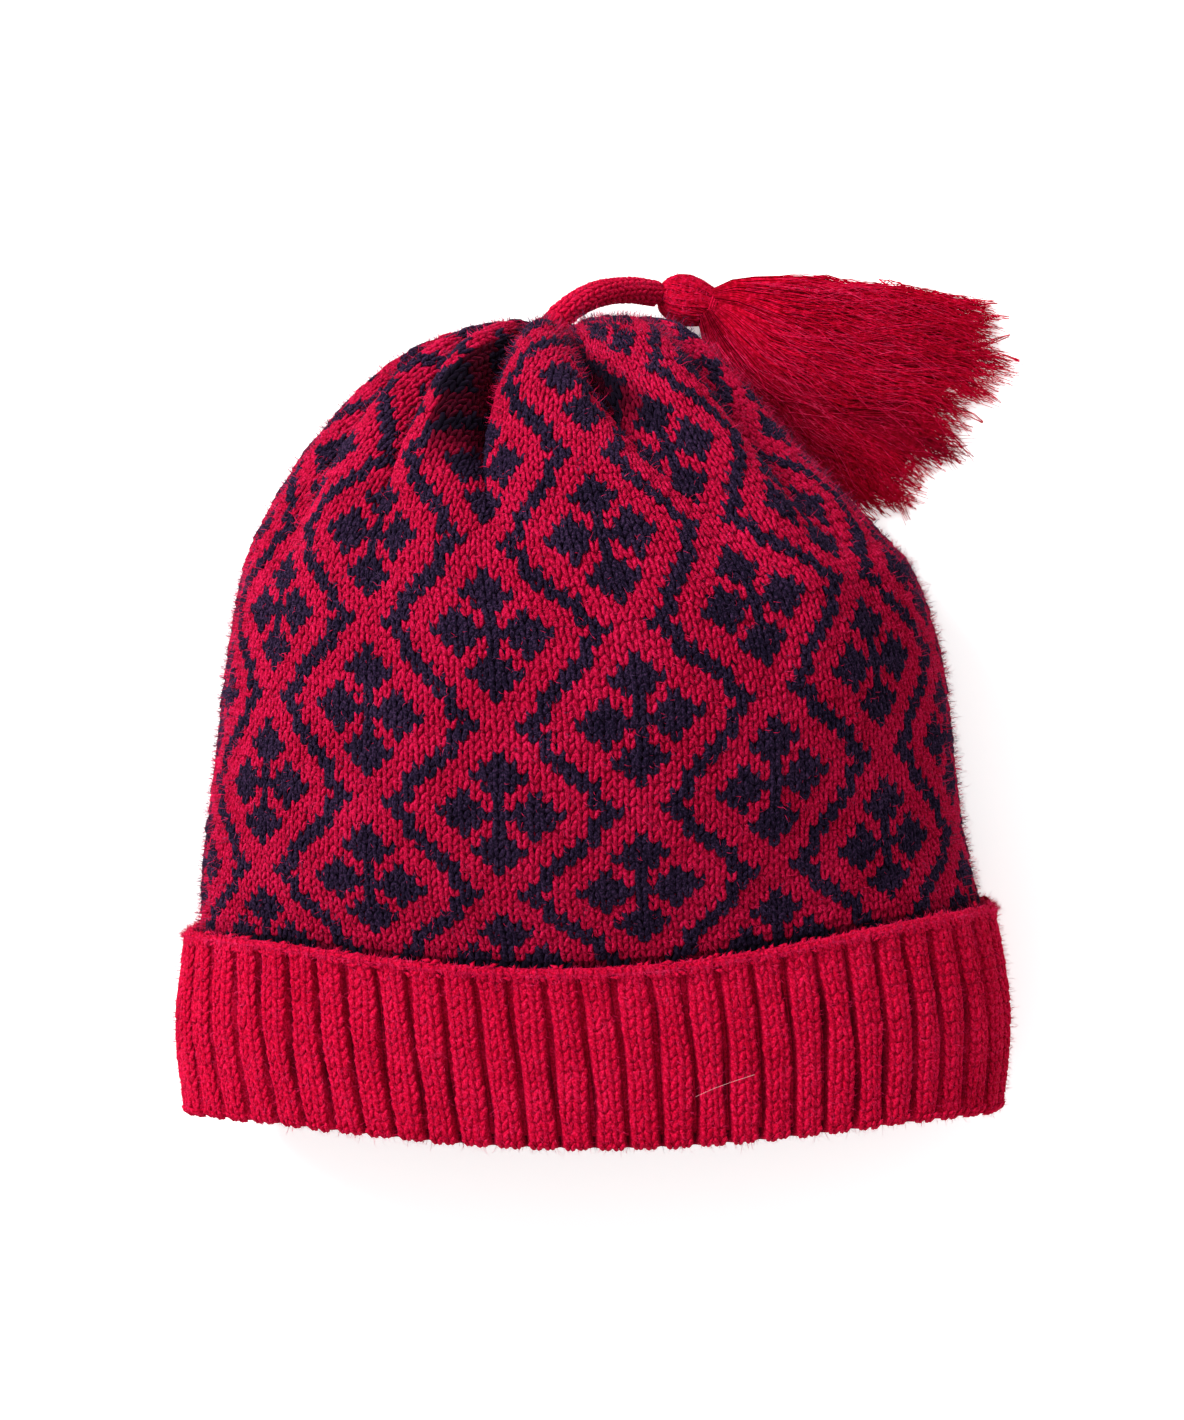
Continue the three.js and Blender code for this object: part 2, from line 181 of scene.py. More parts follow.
# Photograph's camera: straight above the cap.
CAMERA_HEIGHT = 1550.0
CAMERA_X = -0.13
CAMERA_Y = 4.55
PHOTO_WIDTH = 1184
MM_PER_PIXEL = 0.26


class Region(Enum):
    """Parts of the crown that are pieces of their own, so that each stays light."""

    FRONT_LEFT = "front_left"
    FRONT_RIGHT = "front_right"
    BACK = "back"


def linear(hex_colour: str) -> tuple[float, float, float, float]:
    """Turns an sRGB colour into linear light.

    Args:
        hex_colour: The colour, such as "#c4103f".

    Returns:
        Red, green, blue and an alpha of 1.
    """
    values = [int(hex_colour[i : i + 2], 16) / 255 for i in (1, 3, 5)]
    return (*[v / 12.92 if v <= 0.04045 else ((v + 0.055) / 1.055) ** 2.4 for v in values], 1.0)


def smoothstep(x: np.ndarray | float, low: float, high: float) -> np.ndarray | float:
    """A smooth step from 0 at low to 1 at high."""
    t = np.clip((np.asarray(x, dtype=float) - low) / (high - low), 0, 1)
    return t * t * (3 - 2 * t)


def add_node(tree: bpy.types.NodeTree, kind: str, inputs: dict | None = None, **settings) -> bpy.types.Node:
    """Adds a node to a tree.

    Args:
        tree: The node tree.
        kind: The node's type name.
        inputs: For each input's name or number, a value, or another node's output to link.
        settings: The node's own settings.

    Returns:
        The new node.
    """
    node = tree.nodes.new(kind)
    for name, value in settings.items():
        setattr(node, name, value)
    for key, value in (inputs or {}).items():
        if isinstance(value, bpy.types.NodeSocket):
            tree.links.new(value, node.inputs[key])
        else:
            node.inputs[key].default_value = value
    return node


@dataclass(frozen=True)
class Wool:
    """A dyed wool, as fibre colour that varies along the yarn, a soft sheen and a fibre's bump.

    Attributes:
        name: What the material is in the real cap.
        deep: Colour between the fibres.
        body: Colour of most of the yarn.
        lit: Colour of the fibres that catch the light.
        sheen: How much the loose fibres glow at the edges.
        sheen_tint: Colour of that glow.
        painted_shade_colour: Colour painted over the yarn as shade at the bottom of a fold, where the light
            does not reach.
        fibre_mm: Size of the fine mottling.
        bump_mm: Height of the fibres.
        patch_mm: Size of the slow changes of colour.
        grain_mm: Width of a fibre, drawn as coarse as it needs to show.
        contrast: How far the mottling lies from its middle value.
        roughness: How dull the yarn is.
        gloss: How strongly the yarn mirrors.
    """

    name: str
    deep: str
    body: str
    lit: str
    sheen: float = 0.2
    sheen_tint: str = "#ff1a60"
    painted_shade_colour: str = "#1c0009"
    fibre_mm: float = 0.55
    bump_mm: float = 0.3
    patch_mm: float = 14.0
    grain_mm: float = 0.3
    contrast: float = 0.12
    roughness: float = 0.9
    gloss: float = 0.04

    def make(self) -> bpy.types.Material:
        """Makes the material.

        Returns:
            The material, with its nodes.
        """
        material = bpy.data.materials.new(self.name)
        material.use_nodes = True
        tree = material.node_tree
        tree.nodes.clear()
        place = add_node(tree, "ShaderNodeTexCoord").outputs["Object"]
        fibres = add_node(
            tree,
            "ShaderNodeTexNoise",
            {"Vector": place, "Scale": 1 / (self.fibre_mm * MM), "Detail": 3.0, "Roughness": 0.65},
        )
        patches = add_node(
            tree, "ShaderNodeTexNoise", {"Vector": place, "Scale": 1 / (self.patch_mm * MM), "Detail": 2.0}
        )
        blend = add_node(
            tree,
            "ShaderNodeMix",
            {"Factor": 0.15, "A": fibres.outputs["Fac"], "B": patches.outputs["Fac"]},
            data_type="FLOAT",
        )
        ramp = add_node(tree, "ShaderNodeValToRGB", {"Fac": blend.outputs["Result"]})
        ramp.color_ramp.elements[0].position = 0.5 - self.contrast
        ramp.color_ramp.elements[0].color = linear(self.deep)
        ramp.color_ramp.elements[1].position = 0.5 + self.contrast
        ramp.color_ramp.elements[1].color = linear(self.lit)
        middle = ramp.color_ramp.elements.new(0.5)
        middle.color = linear(self.body)
        # Painted shade: where the fold attribute is above 0, the yarn's colour is mixed towards the painted
        # shade colour.
        fold = add_node(tree, "ShaderNodeAttribute", attribute_name="fold")
        # The mix has sockets of one name for each kind of data, so those for colours go by their numbers.
        shaded = add_node(
            tree,
            "ShaderNodeMix",
            {"Factor": fold.outputs["Fac"], 6: ramp.outputs["Color"], 7: linear(self.painted_shade_colour)},
            data_type="RGBA",
        ).outputs[2]
        grain = add_node(
            tree,
            "ShaderNodeTexNoise",
            {"Vector": place, "Scale": 1 / (self.grain_mm * MM), "Detail": 4.0, "Roughness": 0.7},
        )
        bump = add_node(
            tree,
            "ShaderNodeBump",
            {"Height": grain.outputs["Fac"], "Distance": self.bump_mm * MM, "Strength": 0.8},
        )
        shader = add_node(
            tree,
            "ShaderNodeBsdfPrincipled",
            {
                "Base Color": shaded,
                "Roughness": self.roughness,
                "Specular IOR Level": self.gloss,
                "Sheen Weight": self.sheen,
                "Sheen Roughness": 0.45,
                "Sheen Tint": linear(self.sheen_tint),
                "Normal": bump.outputs["Normal"],
            },
        )
        add_node(tree, "ShaderNodeOutputMaterial", {"Surface": shader.outputs["BSDF"]})
        return material


# Crimson lambswool of the jacquard: a saturated crimson whose raised fibres go pinkish in the light.
CRIMSON_JACQUARD = Wool("crimson_lambswool_jacquard", "#6c0216", "#9e062c", "#be1646")
# Navy lambswool of the jacquard: almost black in the hollows, with purple-grey fibres on top.
NAVY_JACQUARD = Wool(
    "navy_lambswool_jacquard", "#080510", "#150e20", "#38243e", sheen=0.1, sheen_tint="#7a4a8c", painted_shade_colour="#07040c"
)
# Brushed wool rib: the brim's denser, brighter crimson with a short nap.
BRUSHED_RIB = Wool("brushed_wool_rib", "#860018", "#b20329", "#d01444")
# Knitted wool cord: the same crimson, since it is tightly knitted.
KNITTED_CORD = Wool("knitted_wool_cord", "#8e001c", "#b2052c", "#cc1644")
# Combed tassel yarn: long loose fibres, deep crimson in the mass.
COMBED_YARN = Wool(
    "combed_tassel_wool", "#980018", "#b80223", "#dc1042", sheen=0.15, fibre_mm=1.2, bump_mm=0.06
)
# Wound yarn of the tassel's head, which is a little darker where it is drawn tight.
WOUND_YARN = Wool("wound_tassel_wool", "#82001a", "#a4021f", "#c20a38", sheen=0.15, fibre_mm=1.0, bump_mm=0.1)
# Single tassel fibres: the thin ones on top, with a painted highlight, a brighter copy of the tassel's
# crimson, as they catch the light.
TASSEL_WISP_PAINTED_HIGHLIGHT = Wool(
    "loose_tassel_wool_fibres_painted_highlight",
    "#bc0430",
    "#d00c3e",
    "#e0305e",
    sheen_tint="#ff3a78",
    fibre_mm=1.5,
    bump_mm=0.05,
)
# Raised nap of the crimson wool, with a painted highlight: a lighter copy of the crimson for single fibres in
# the light.
CRIMSON_NAP_PAINTED_HIGHLIGHT = Wool(
    "crimson_wool_nap_painted_highlight", "#a00630", "#bc1040", "#d02c5c", sheen_tint="#ff3a78", fibre_mm=1.2, bump_mm=0.05
)
# Raised nap of the navy wool: the same fibres with a painted highlight, grey-violet where they stand in the
# light.
NAVY_NAP_PAINTED_HIGHLIGHT = Wool(
    "navy_wool_nap_painted_highlight",
    "#1c1226",
    "#30223c",
    "#4c3854",
    sheen=0.1,
    sheen_tint="#8a6a9c",
    painted_shade_colour="#07040c",
    fibre_mm=1.2,
    bump_mm=0.05,
)
# One pale hair that has caught on the brim.
STRAY_HAIR = Wool(
    "stray_pale_hair",
    "#d88890",
    "#e4a0a4",
    "#f0b8b8",
    sheen=0.1,
    sheen_tint="#ffd0d0",
    fibre_mm=1.5,
    bump_mm=0.02,
)
FINISHES = (
    CRIMSON_JACQUARD,
    NAVY_JACQUARD,
    BRUSHED_RIB,
    KNITTED_CORD,
    COMBED_YARN,
    WOUND_YARN,
    TASSEL_WISP_PAINTED_HIGHLIGHT,
    CRIMSON_NAP_PAINTED_HIGHLIGHT,
    NAVY_NAP_PAINTED_HIGHLIGHT,
    STRAY_HAIR,
)


class CapForm:
    """The cap's skin as a function of the wale and the course, the same as the part's source uses."""

    ARC_STEPS = 240
    PLEAT_STEPS = 28
    STEP_FOR_NORMAL = 0.4

    def __init__(self) -> None:
        """Reads the tables."""
        self.rows = {name: [row[i] for row in SECTION_ROWS] for i, name in enumerate(SECTION_COLUMNS)}
        self.valleys = [dict(zip(VALLEY_COLUMNS, row)) for row in VALLEY_ROWS]
        self.sections: dict[float, dict] = {}
        self.warps: dict[float, np.ndarray] = {}

    def value(self, name: str, course: float) -> float:
        """A column's value at a course, on a smooth curve through the rows.

        Args:
            name: The column.
            course: The course, which may lie between two rows.

        Returns:
            The value.
        """
        xs, ys = self.rows["course"], self.rows[name]
        last = len(xs) - 1
        following = next((i for i, x in enumerate(xs) if x >= course), last)
        high = min(max(following, 1), last)
        low = high - 1

        def slope(i: int, j: int) -> float:
            """The straight slope between two rows."""
            return (ys[j] - ys[i]) / (xs[j] - xs[i])

        def tangent(i: int) -> float:
            """The curve's slope at a row, from the rows beside it."""
            return slope(max(i - 1, 0), min(i + 1, last))

        span = xs[high] - xs[low]
        t = min(max((course - xs[low]) / span, 0), 1)
        return (
            (2 * t**3 - 3 * t**2 + 1) * ys[low]
            + (t**3 - 2 * t**2 + t) * span * tangent(low)
            + (3 * t**2 - 2 * t**3) * ys[high]
            + (t**3 - t**2) * span * tangent(high)
        )

    def section(self, course: float) -> dict:
        """The cross-section at a course, with its outline's length up to each turn.

        Args:
            course: The course.

        Returns:
            Each column's value, the outline's middle and its length up to each turn.
        """
        if course not in self.sections:
            section = {name: self.value(name, course) for name in SECTION_COLUMNS}
            section["middle"] = (section["left"] + section["right"]) / 2
            points = self.outline(section, np.linspace(0, 1, self.ARC_STEPS + 1))
            steps = np.linalg.norm(np.diff(points, axis=0), axis=1)
            section["reach"] = np.concatenate([[0], np.cumsum(steps)])
            self.sections[course] = section
        return self.sections[course]

    def outline(self, section: dict, turns: np.ndarray) -> np.ndarray:
        """Points of a section's outline, turn 0 at the middle of the front and 0.25 at the right.

        Args:
            section: The cross-section.
            turns: Places round it, from 0 to 1.

        Returns:
            The points, one row each, in millimetres.
        """
        across = np.sin(2 * np.pi * turns)
        up = np.cos(2 * np.pi * turns)
        front = up >= 0
        power = np.where(front, 2 / FRONT_ROUNDNESS, 2 / BACK_ROUNDNESS)
        middle, side, base = section["middle"], section["side"], section["base"]
        reach = np.where(across >= 0, section["right"] - middle, section["left"] - middle)
        x = middle + reach * np.abs(across) ** power
        rise = np.where(front, section["top"] - side, (base - side) * BACK_PRESS)
        z = np.maximum(side + rise * np.abs(up) ** power, base)
        share = np.where(front, (z - side) / (section["top"] - side), (side - z) / (side - base))
        share = np.clip(share, 0, None)
        hang = np.where(front, -section["sag"] * share**SAG_FALLOFF, BACK_SAG_SHARE * section["sag"] * share)
        y = section["along"] + hang + (x - middle) * math.tan(math.radians(section["twist"]))
        return np.stack([x, y, z], axis=1)

    def skin(self, course: float, wales: np.ndarray) -> np.ndarray:
        """Points of the smooth skin, before its pleats.

        Args:
            course: The course.
            wales: The wales of the points.

        Returns:
            The points, one row each, in millimetres.
        """
        section = self.section(course)
        turn = (wales - FRONT_WALE) / WALES
        crowding = np.sin(4 * np.pi * turn) / (4 * np.pi) - np.sin(2 * np.pi * turn) / (2 * np.pi)
        share = np.mod(turn + SIDE_CROWDING * crowding, 1)
        wanted = share * section["reach"][-1]
        turns = np.interp(wanted, section["reach"], np.linspace(0, 1, self.ARC_STEPS + 1))
        return self.outline(section, turns)

    def skin_normal(self, course: float, wales: np.ndarray) -> np.ndarray:
        """The way out of the smooth skin.

        Args:
            course: The course.
            wales: The wales of the points.

        Returns:
            A direction of length 1 for each wale.
        """
        step = self.STEP_FOR_NORMAL
        low = max(course - step, self.rows["course"][0])
        high = min(course + step, self.rows["course"][-1])
        along = self.skin(high, wales) - self.skin(low, wales)
        around = self.skin(course, wales + step) - self.skin(course, wales - step)
        normal = np.cross(around, along)
        return normal / np.linalg.norm(normal, axis=1, keepdims=True)

    def valley_wales(self, course: float) -> np.ndarray:
        """The wale of each valley at a course, and of the first one again after a whole turn.

        Args:
            course: The course.

        Returns:
            The wales, in order.
        """
        above = max(course, VALLEY_FIXED_BELOW) - VALLEY_COURSE
        wales = [valley["wale"] + valley["lean"] * above for valley in self.valleys]
        return np.array([*wales, wales[0] + WALES])

    def depth(self, course: float, pleat: np.ndarray, place: np.ndarray) -> np.ndarray:
        """How deep the skin is drawn in at a place between two valleys, from -1 to 1.

        Args:
            course: The course.
            pleat: The pleat of each point.
            place: Its place across the pleat, -1 at the valley before it and 1 at the next.

        Returns:
            The depths, in millimetres.
        """
        full = self.section(course)["pleat"]
        strengths = np.array([valley["strength"] for valley in self.valleys])
        strength = strengths[np.where(place < 0, pleat, pleat + 1) % len(strengths)]
        deep_share = smoothstep(full, SHALLOW_PLEAT, DEEP_PLEAT)
        shallow = ((1 - np.cos(np.pi * place)) / 2) ** SHALLOW_POWER
        deep = 1 - np.maximum(np.cos(place * np.pi / 2), 0) ** PILLOW
        return full * strength * (shallow + (deep - shallow) * deep_share)

    def folded(self, course: float, pleat: np.ndarray, share: np.ndarray, inset: float) -> np.ndarray:
        """Points of the pleated skin at a share of the way across a pleat.

        Args:
            course: The course.
            pleat: The pleat of each point.
            share: Its share of the way across the pleat.
            inset: How far inside the skin it lies.

        Returns:
            The points, one row each, in millimetres.
        """
        valleys = self.valley_wales(course)
        wales = valleys[pleat] + (valleys[pleat + 1] - valleys[pleat]) * share
        drawn = self.depth(course, pleat, 2 * share - 1) + inset
        points = self.skin(course, wales) - self.skin_normal(course, wales) * drawn[:, None]
        points[:, 2] = np.maximum(points[:, 2], max(self.section(course)["base"], 0))
        return points

    def warp(self, course: float) -> np.ndarray:
        """For each pleat, the length of fabric up to each step across it, as a share of the whole.

        Args:
            course: The course.

        Returns:
            The shares, a row for each pleat.
        """
        if course not in self.warps:
            shares = np.linspace(0, 1, self.PLEAT_STEPS + 1)
            lengths = []
            for pleat in range(len(self.valleys)):
                points = self.folded(course, np.full(shares.shape, pleat), shares, 0)
                reach = np.concatenate([[0], np.cumsum(np.linalg.norm(np.diff(points, axis=0), axis=1))])
                lengths.append(reach / reach[-1])
            self.warps[course] = np.array(lengths)
        return self.warps[course]

    def pleats_of(self, course: float, wales: np.ndarray) -> tuple[np.ndarray, np.ndarray]:
        """The pleat that each wale lies in at a course, and the share of the way across it.

        Args:
            course: The course.
            wales: The wales.

        Returns:
            The pleats' numbers and the shares.
        """
        valleys = self.valley_wales(course)
        turned = valleys[0] + np.mod(wales - valleys[0], WALES)
        pleat = np.clip(np.searchsorted(valleys, turned, side="right") - 1, 0, len(self.valleys) - 1)
        return pleat, (turned - valleys[pleat]) / (valleys[pleat + 1] - valleys[pleat])

    def surface(self, course: float, wales: np.ndarray, inset: float = 0) -> np.ndarray:
        """Points of the pleated fabric, with its wales spread evenly along each fold.

        Args:
            course: The course, which may lie between two.
            wales: The wales of the points.
            inset: How far inside the skin they lie.

        Returns:
            The points, one row each, in millimetres.
        """
        pleat, share = self.pleats_of(course, wales)
        evenness = float(smoothstep(self.section(course)["pleat"], 1, 5))
        if evenness > 0:
            steps = np.linspace(0, 1, self.PLEAT_STEPS + 1)
            warped = share.copy()
            for index, reach in enumerate(self.warp(course)):
                chosen = pleat == index
                warped[chosen] = np.interp(share[chosen], reach, steps)
            share = share + (warped - share) * evenness
        return self.folded(course, pleat, share, inset)

    def inside(self, course: float, wales: np.ndarray, inset: float) -> np.ndarray:
        """Points of the crown's inside, which is bunched solid where the pleats are deep.

        Args:
            course: The course.
            wales: The wales of the points.
            inset: How far inside the pleated skin they lie.

        Returns:
            The points, one row each, in millimetres.
        """
        pleat, share = self.pleats_of(course, wales)
        own = self.depth(course, pleat, 2 * share - 1)
        full = self.section(course)["pleat"]
        bunch = np.maximum(full - own, 0) * float(smoothstep(full, SHALLOW_PLEAT, DEEP_PLEAT))
        drawn = own + bunch + inset
        return self.skin(course, wales) - self.skin_normal(course, wales) * drawn[:, None]


FORM = CapForm()


def plain_mesh(name: str, points: np.ndarray, faces: np.ndarray | list) -> bpy.types.Object:
    """Makes a smooth-shaded mesh object.

    Args:
        name: The object's name.
        points: Its vertices, in millimetres.
        faces: Its faces, as rows of vertex numbers.

    Returns:
        The object, in the scene.
    """
    mesh = bpy.data.meshes.new(name)
    corners = np.asarray(faces).tolist() if len(faces) else []
    mesh.from_pydata((np.asarray(points) * MM).tolist(), [], corners)
    mesh.polygons.foreach_set("use_smooth", [True] * len(mesh.polygons))
    mesh.update()
    made = bpy.data.objects.new(name, mesh)
    bpy.context.scene.collection.objects.link(made)
    return made


def store_numbers(mesh: bpy.types.Mesh, label: str, values: np.ndarray) -> None:
    """Stores a number for each point of a mesh."""
    attribute = mesh.attributes.new(label, "FLOAT", "POINT")
    attribute.data.foreach_set("value", np.asarray(values, dtype=np.float32))


def face_outwards(shape: bpy.types.Object) -> None:
    """Turns the faces of a closed shape outwards.

    Args:
        shape: The shape, which is changed in place.
    """
    work = bmesh.new()
    work.from_mesh(shape.data)
    bmesh.ops.recalc_face_normals(work, faces=work.faces)
    work.to_mesh(shape.data)
    work.free()


def ring_faces(rings: int, size: int, is_loop: bool) -> np.ndarray:
    """Faces between rings of points, each joined to the next, as triangles.

    Args:
        rings: Number of rings.
        size: Points in a ring.
        is_loop: Whether the last ring is joined to the first.

    Returns:
        The triangles.
    """
    ring = np.arange(rings if is_loop else rings - 1)[:, None] * size
    following = (ring + size) % (rings * size)
    here = np.arange(size)[None, :]
    right = (here + 1) % size
    a, b, c, d = ring + here, ring + right, following + right, following + here
    return np.concatenate([np.stack([a, b, c], -1).reshape(-1, 3), np.stack([a, c, d], -1).reshape(-1, 3)])


def tube(rings: list[np.ndarray]) -> tuple[np.ndarray, np.ndarray]:
    """A closed tube through rings of points, with a point in the middle of each end.

    Args:
        rings: The rings, each with the same number of points.

    Returns:
        The points and the triangles.
    """
    size = len(rings[0])
    points = np.concatenate([*rings, [rings[0].mean(0)], [rings[-1].mean(0)]])
    faces = ring_faces(len(rings), size, False)
    j = np.arange(size)
    k = (j + 1) % size
    start, end = len(rings) * size, len(rings) * size + 1
    offset = (len(rings) - 1) * size
    first_cap = np.stack([k, j, np.full(size, start)], -1)
    last_cap = np.stack([offset + j, offset + k, np.full(size, end)], -1)
    return points, np.concatenate([faces, first_cap, last_cap])


def euler_angles(side: np.ndarray, forward: np.ndarray, up: np.ndarray) -> np.ndarray:
    """Euler angles of frames given by their three axes, one row each.

    Args:
        side: The first axis of each frame, of length 1.
        forward: The second.
        up: The third.

    Returns:
        The angles, one row each.
    """
    level = np.hypot(side[:, 0], side[:, 1])
    roll = np.arctan2(forward[:, 2], up[:, 2])
    pitch = np.arctan2(-side[:, 2], level)
    heading = np.arctan2(side[:, 1], side[:, 0])
    return np.stack([roll, pitch, heading], axis=1)


def unit(vectors: np.ndarray) -> np.ndarray:
    """The vectors at length 1."""
    return vectors / np.maximum(np.linalg.norm(vectors, axis=-1, keepdims=True), 1e-9)


def from_middle(values: np.ndarray, shift: int, repeat: int) -> np.ndarray:
    """How far each value lies from the nearest middle of a repeat that is shifted along."""
    return np.mod(values - shift + repeat // 2, repeat) - repeat // 2


def is_navy(wales: np.ndarray, courses: np.ndarray) -> np.ndarray:
    """Whether each stitch is navy, by the chart of the pattern.

    Args:
        wales: The wales of the stitches.
        courses: Their courses.

    Returns:
        True where a stitch is navy.
    """
    navy = np.zeros(np.shape(wales), dtype=bool)
    for halves in (0, 1):
        x = from_middle(wales, halves * REPEAT_WALES // 2, REPEAT_WALES)
        y = from_middle(courses, halves * REPEAT_COURSES // 2, REPEAT_COURSES)
        for petal_x, petal_y in PETALS:
            navy |= np.abs(x - petal_x) + np.abs(y - petal_y) <= PETAL_REACH
        navy |= (x == 0) & (np.abs(y) <= STEM_REACH)
    x = from_middle(wales, 0, REPEAT_WALES)
    y = from_middle(courses, 0, REPEAT_COURSES)
    for row, columns in enumerate(TRELLIS):
        navy |= (np.abs(y) == row) & np.isin(np.abs(x), columns)
    return navy


class NodeGroups:
    """The two Geometry Nodes groups: yarn shapes set on points, and strands swept along lines."""

    def __init__(self) -> None:
        """Builds both groups."""
        self.field = self._yarn_field()
        self.strands = self._strands()

    @staticmethod
    def _new(name: str, sockets: dict[str, str]) -> bpy.types.NodeTree:
        """A group with a geometry going in and out, and the other inputs by name and type.

        Args:
            name: The group's name.
            sockets: The type of each other input, by its name.

        Returns:
            The empty group.
        """
        tree = bpy.data.node_groups.new(name, "GeometryNodeTree")
        tree.interface.new_socket("Geometry", in_out="OUTPUT", socket_type="NodeSocketGeometry")
        tree.interface.new_socket("Geometry", in_out="INPUT", socket_type="NodeSocketGeometry")
        for label, kind in sockets.items():
            tree.interface.new_socket(label, in_out="INPUT", socket_type=kind)
        return tree

    def _yarn_field(self) -> bpy.types.NodeTree:
        """Sets a yarn shape on each point, turned, sized and dyed by the point's attributes.

        Returns:
            The group.
        """
        tree = self._new(
            "yarn_field",
            {
                "Yarn": "NodeSocketObject",
                "Main Wool": "NodeSocketMaterial",
                "Second Wool": "NodeSocketMaterial",
            },
        )
        given = add_node(tree, "NodeGroupInput").outputs
        yarn = add_node(tree, "GeometryNodeObjectInfo", {"Object": given["Yarn"], "As Instance": True})
        turn = add_node(tree, "GeometryNodeInputNamedAttribute", {"Name": "turn"}, data_type="FLOAT_VECTOR")
        size = add_node(tree, "GeometryNodeInputNamedAttribute", {"Name": "size"}, data_type="FLOAT_VECTOR")
        placed = add_node(
            tree,
            "GeometryNodeInstanceOnPoints",
            {
                "Points": given["Geometry"],
                "Instance": yarn.outputs["Geometry"],
                "Rotation": turn.outputs["Attribute"],
                "Scale": size.outputs["Attribute"],
            },
        )
        real = add_node(tree, "GeometryNodeRealizeInstances", {"Geometry": placed.outputs["Instances"]})
        main = add_node(
            tree,
            "GeometryNodeSetMaterial",
            {"Geometry": real.outputs["Geometry"], "Material": given["Main Wool"]},
        )
        dye = add_node(tree, "GeometryNodeInputNamedAttribute", {"Name": "dye"}, data_type="FLOAT")
        chosen = add_node(
            tree,
            "FunctionNodeCompare",
            {"A": dye.outputs["Attribute"], "B": 0.5},
            data_type="FLOAT",
            operation="GREATER_THAN",
        )
        second = add_node(
            tree,
            "GeometryNodeSetMaterial",
            {
                "Geometry": main.outputs["Geometry"],
                "Selection": chosen.outputs["Result"],
                "Material": given["Second Wool"],
            },
        )
        add_node(tree, "NodeGroupOutput", {"Geometry": second.outputs["Geometry"]})
        return tree

    def _strands(self) -> bpy.types.NodeTree:
        """Sweeps a small round section along each line of edges, as thick as its points say.

        Returns:
            The group.
        """
        tree = self._new("strands", {"Sides": "NodeSocketInt", "Wool": "NodeSocketMaterial"})
        given = add_node(tree, "NodeGroupInput").outputs
        curve = add_node(tree, "GeometryNodeMeshToCurve", {"Mesh": given["Geometry"]})
        thickness = add_node(
            tree, "GeometryNodeInputNamedAttribute", {"Name": "thickness"}, data_type="FLOAT"
        )
        section = add_node(
            tree,
            "GeometryNodeCurvePrimitiveCircle",
            {"Resolution": given["Sides"], "Radius": 1.0},
            mode="RADIUS",
        )
        swept = add_node(
            tree,
            "GeometryNodeCurveToMesh",
            {
                "Curve": curve.outputs["Curve"],
                "Profile Curve": section.outputs["Curve"],
                "Scale": thickness.outputs["Attribute"],
                "Fill Caps": True,
            },
        )
        smooth = add_node(tree, "GeometryNodeSetShadeSmooth", {"Geometry": swept.outputs["Mesh"]})
        real = add_node(tree, "GeometryNodeRealizeInstances", {"Geometry": smooth.outputs["Geometry"]})
        done = add_node(
            tree, "GeometryNodeSetMaterial", {"Geometry": real.outputs["Geometry"], "Material": given["Wool"]}
        )
        add_node(tree, "NodeGroupOutput", {"Geometry": done.outputs["Geometry"]})
        return tree

    @staticmethod
    def apply(
        seed_object: bpy.types.Object, tree: bpy.types.NodeTree, values: dict, name: str
    ) -> bpy.types.Object:
        """Runs a group on an object and keeps the result as a plain mesh.

        Args:
            seed_object: The points or lines, which are removed afterwards.
            tree: The group.
            values: Its inputs by name.
            name: The new object's name.

        Returns:
            The plain mesh object.
        """
        modifier = seed_object.modifiers.new("nodes", "NODES")
        modifier.node_group = tree
        for item in tree.interface.items_tree:
            if item.item_type == "SOCKET" and item.in_out == "INPUT" and item.name in values:
                modifier[item.identifier] = values[item.name]
        bpy.context.view_layer.update()
        seen = seed_object.evaluated_get(bpy.context.evaluated_depsgraph_get())
        mesh = bpy.data.meshes.new_from_object(seen)
        bpy.data.objects.remove(seed_object)
        made = bpy.data.objects.new(name, mesh)
        mesh.name = name
        bpy.context.scene.collection.objects.link(made)
        return made


@dataclass
class YarnPoints:
    """Places for a yarn shape, with its turn, size and dye at each, and how much painted shade it gets."""

    points: np.ndarray
    turns: np.ndarray
    sizes: np.ndarray
    dyes: np.ndarray
    painted_shades: np.ndarray | None = None

    def chosen(self, mask: np.ndarray) -> "YarnPoints":
        """The places where mask is true."""
        painted_shades = None if self.painted_shades is None else self.painted_shades[mask]
        return YarnPoints(self.points[mask], self.turns[mask], self.sizes[mask], self.dyes[mask], painted_shades)

    def seed(self, name: str) -> bpy.types.Object:
        """A mesh of loose points that carries the attributes for the yarn field.

        Args:
            name: The object's name.

        Returns:
            The object, in the scene.
        """
        made = plain_mesh(name, self.points, [])
        for label, kind, values in (
            ("turn", "FLOAT_VECTOR", self.turns),
            ("size", "FLOAT_VECTOR", self.sizes * MM),
            ("dye", "FLOAT", self.dyes),
            # The fold attribute carries painted shade to the material.
            ("fold", "FLOAT", np.zeros(len(self.points)) if self.painted_shades is None else self.painted_shades),
        ):
            attribute = made.data.attributes.new(label, kind, "POINT")
            key = "value" if kind == "FLOAT" else "vector"
            attribute.data.foreach_set(key, np.asarray(values, dtype=np.float32).ravel())
        return made


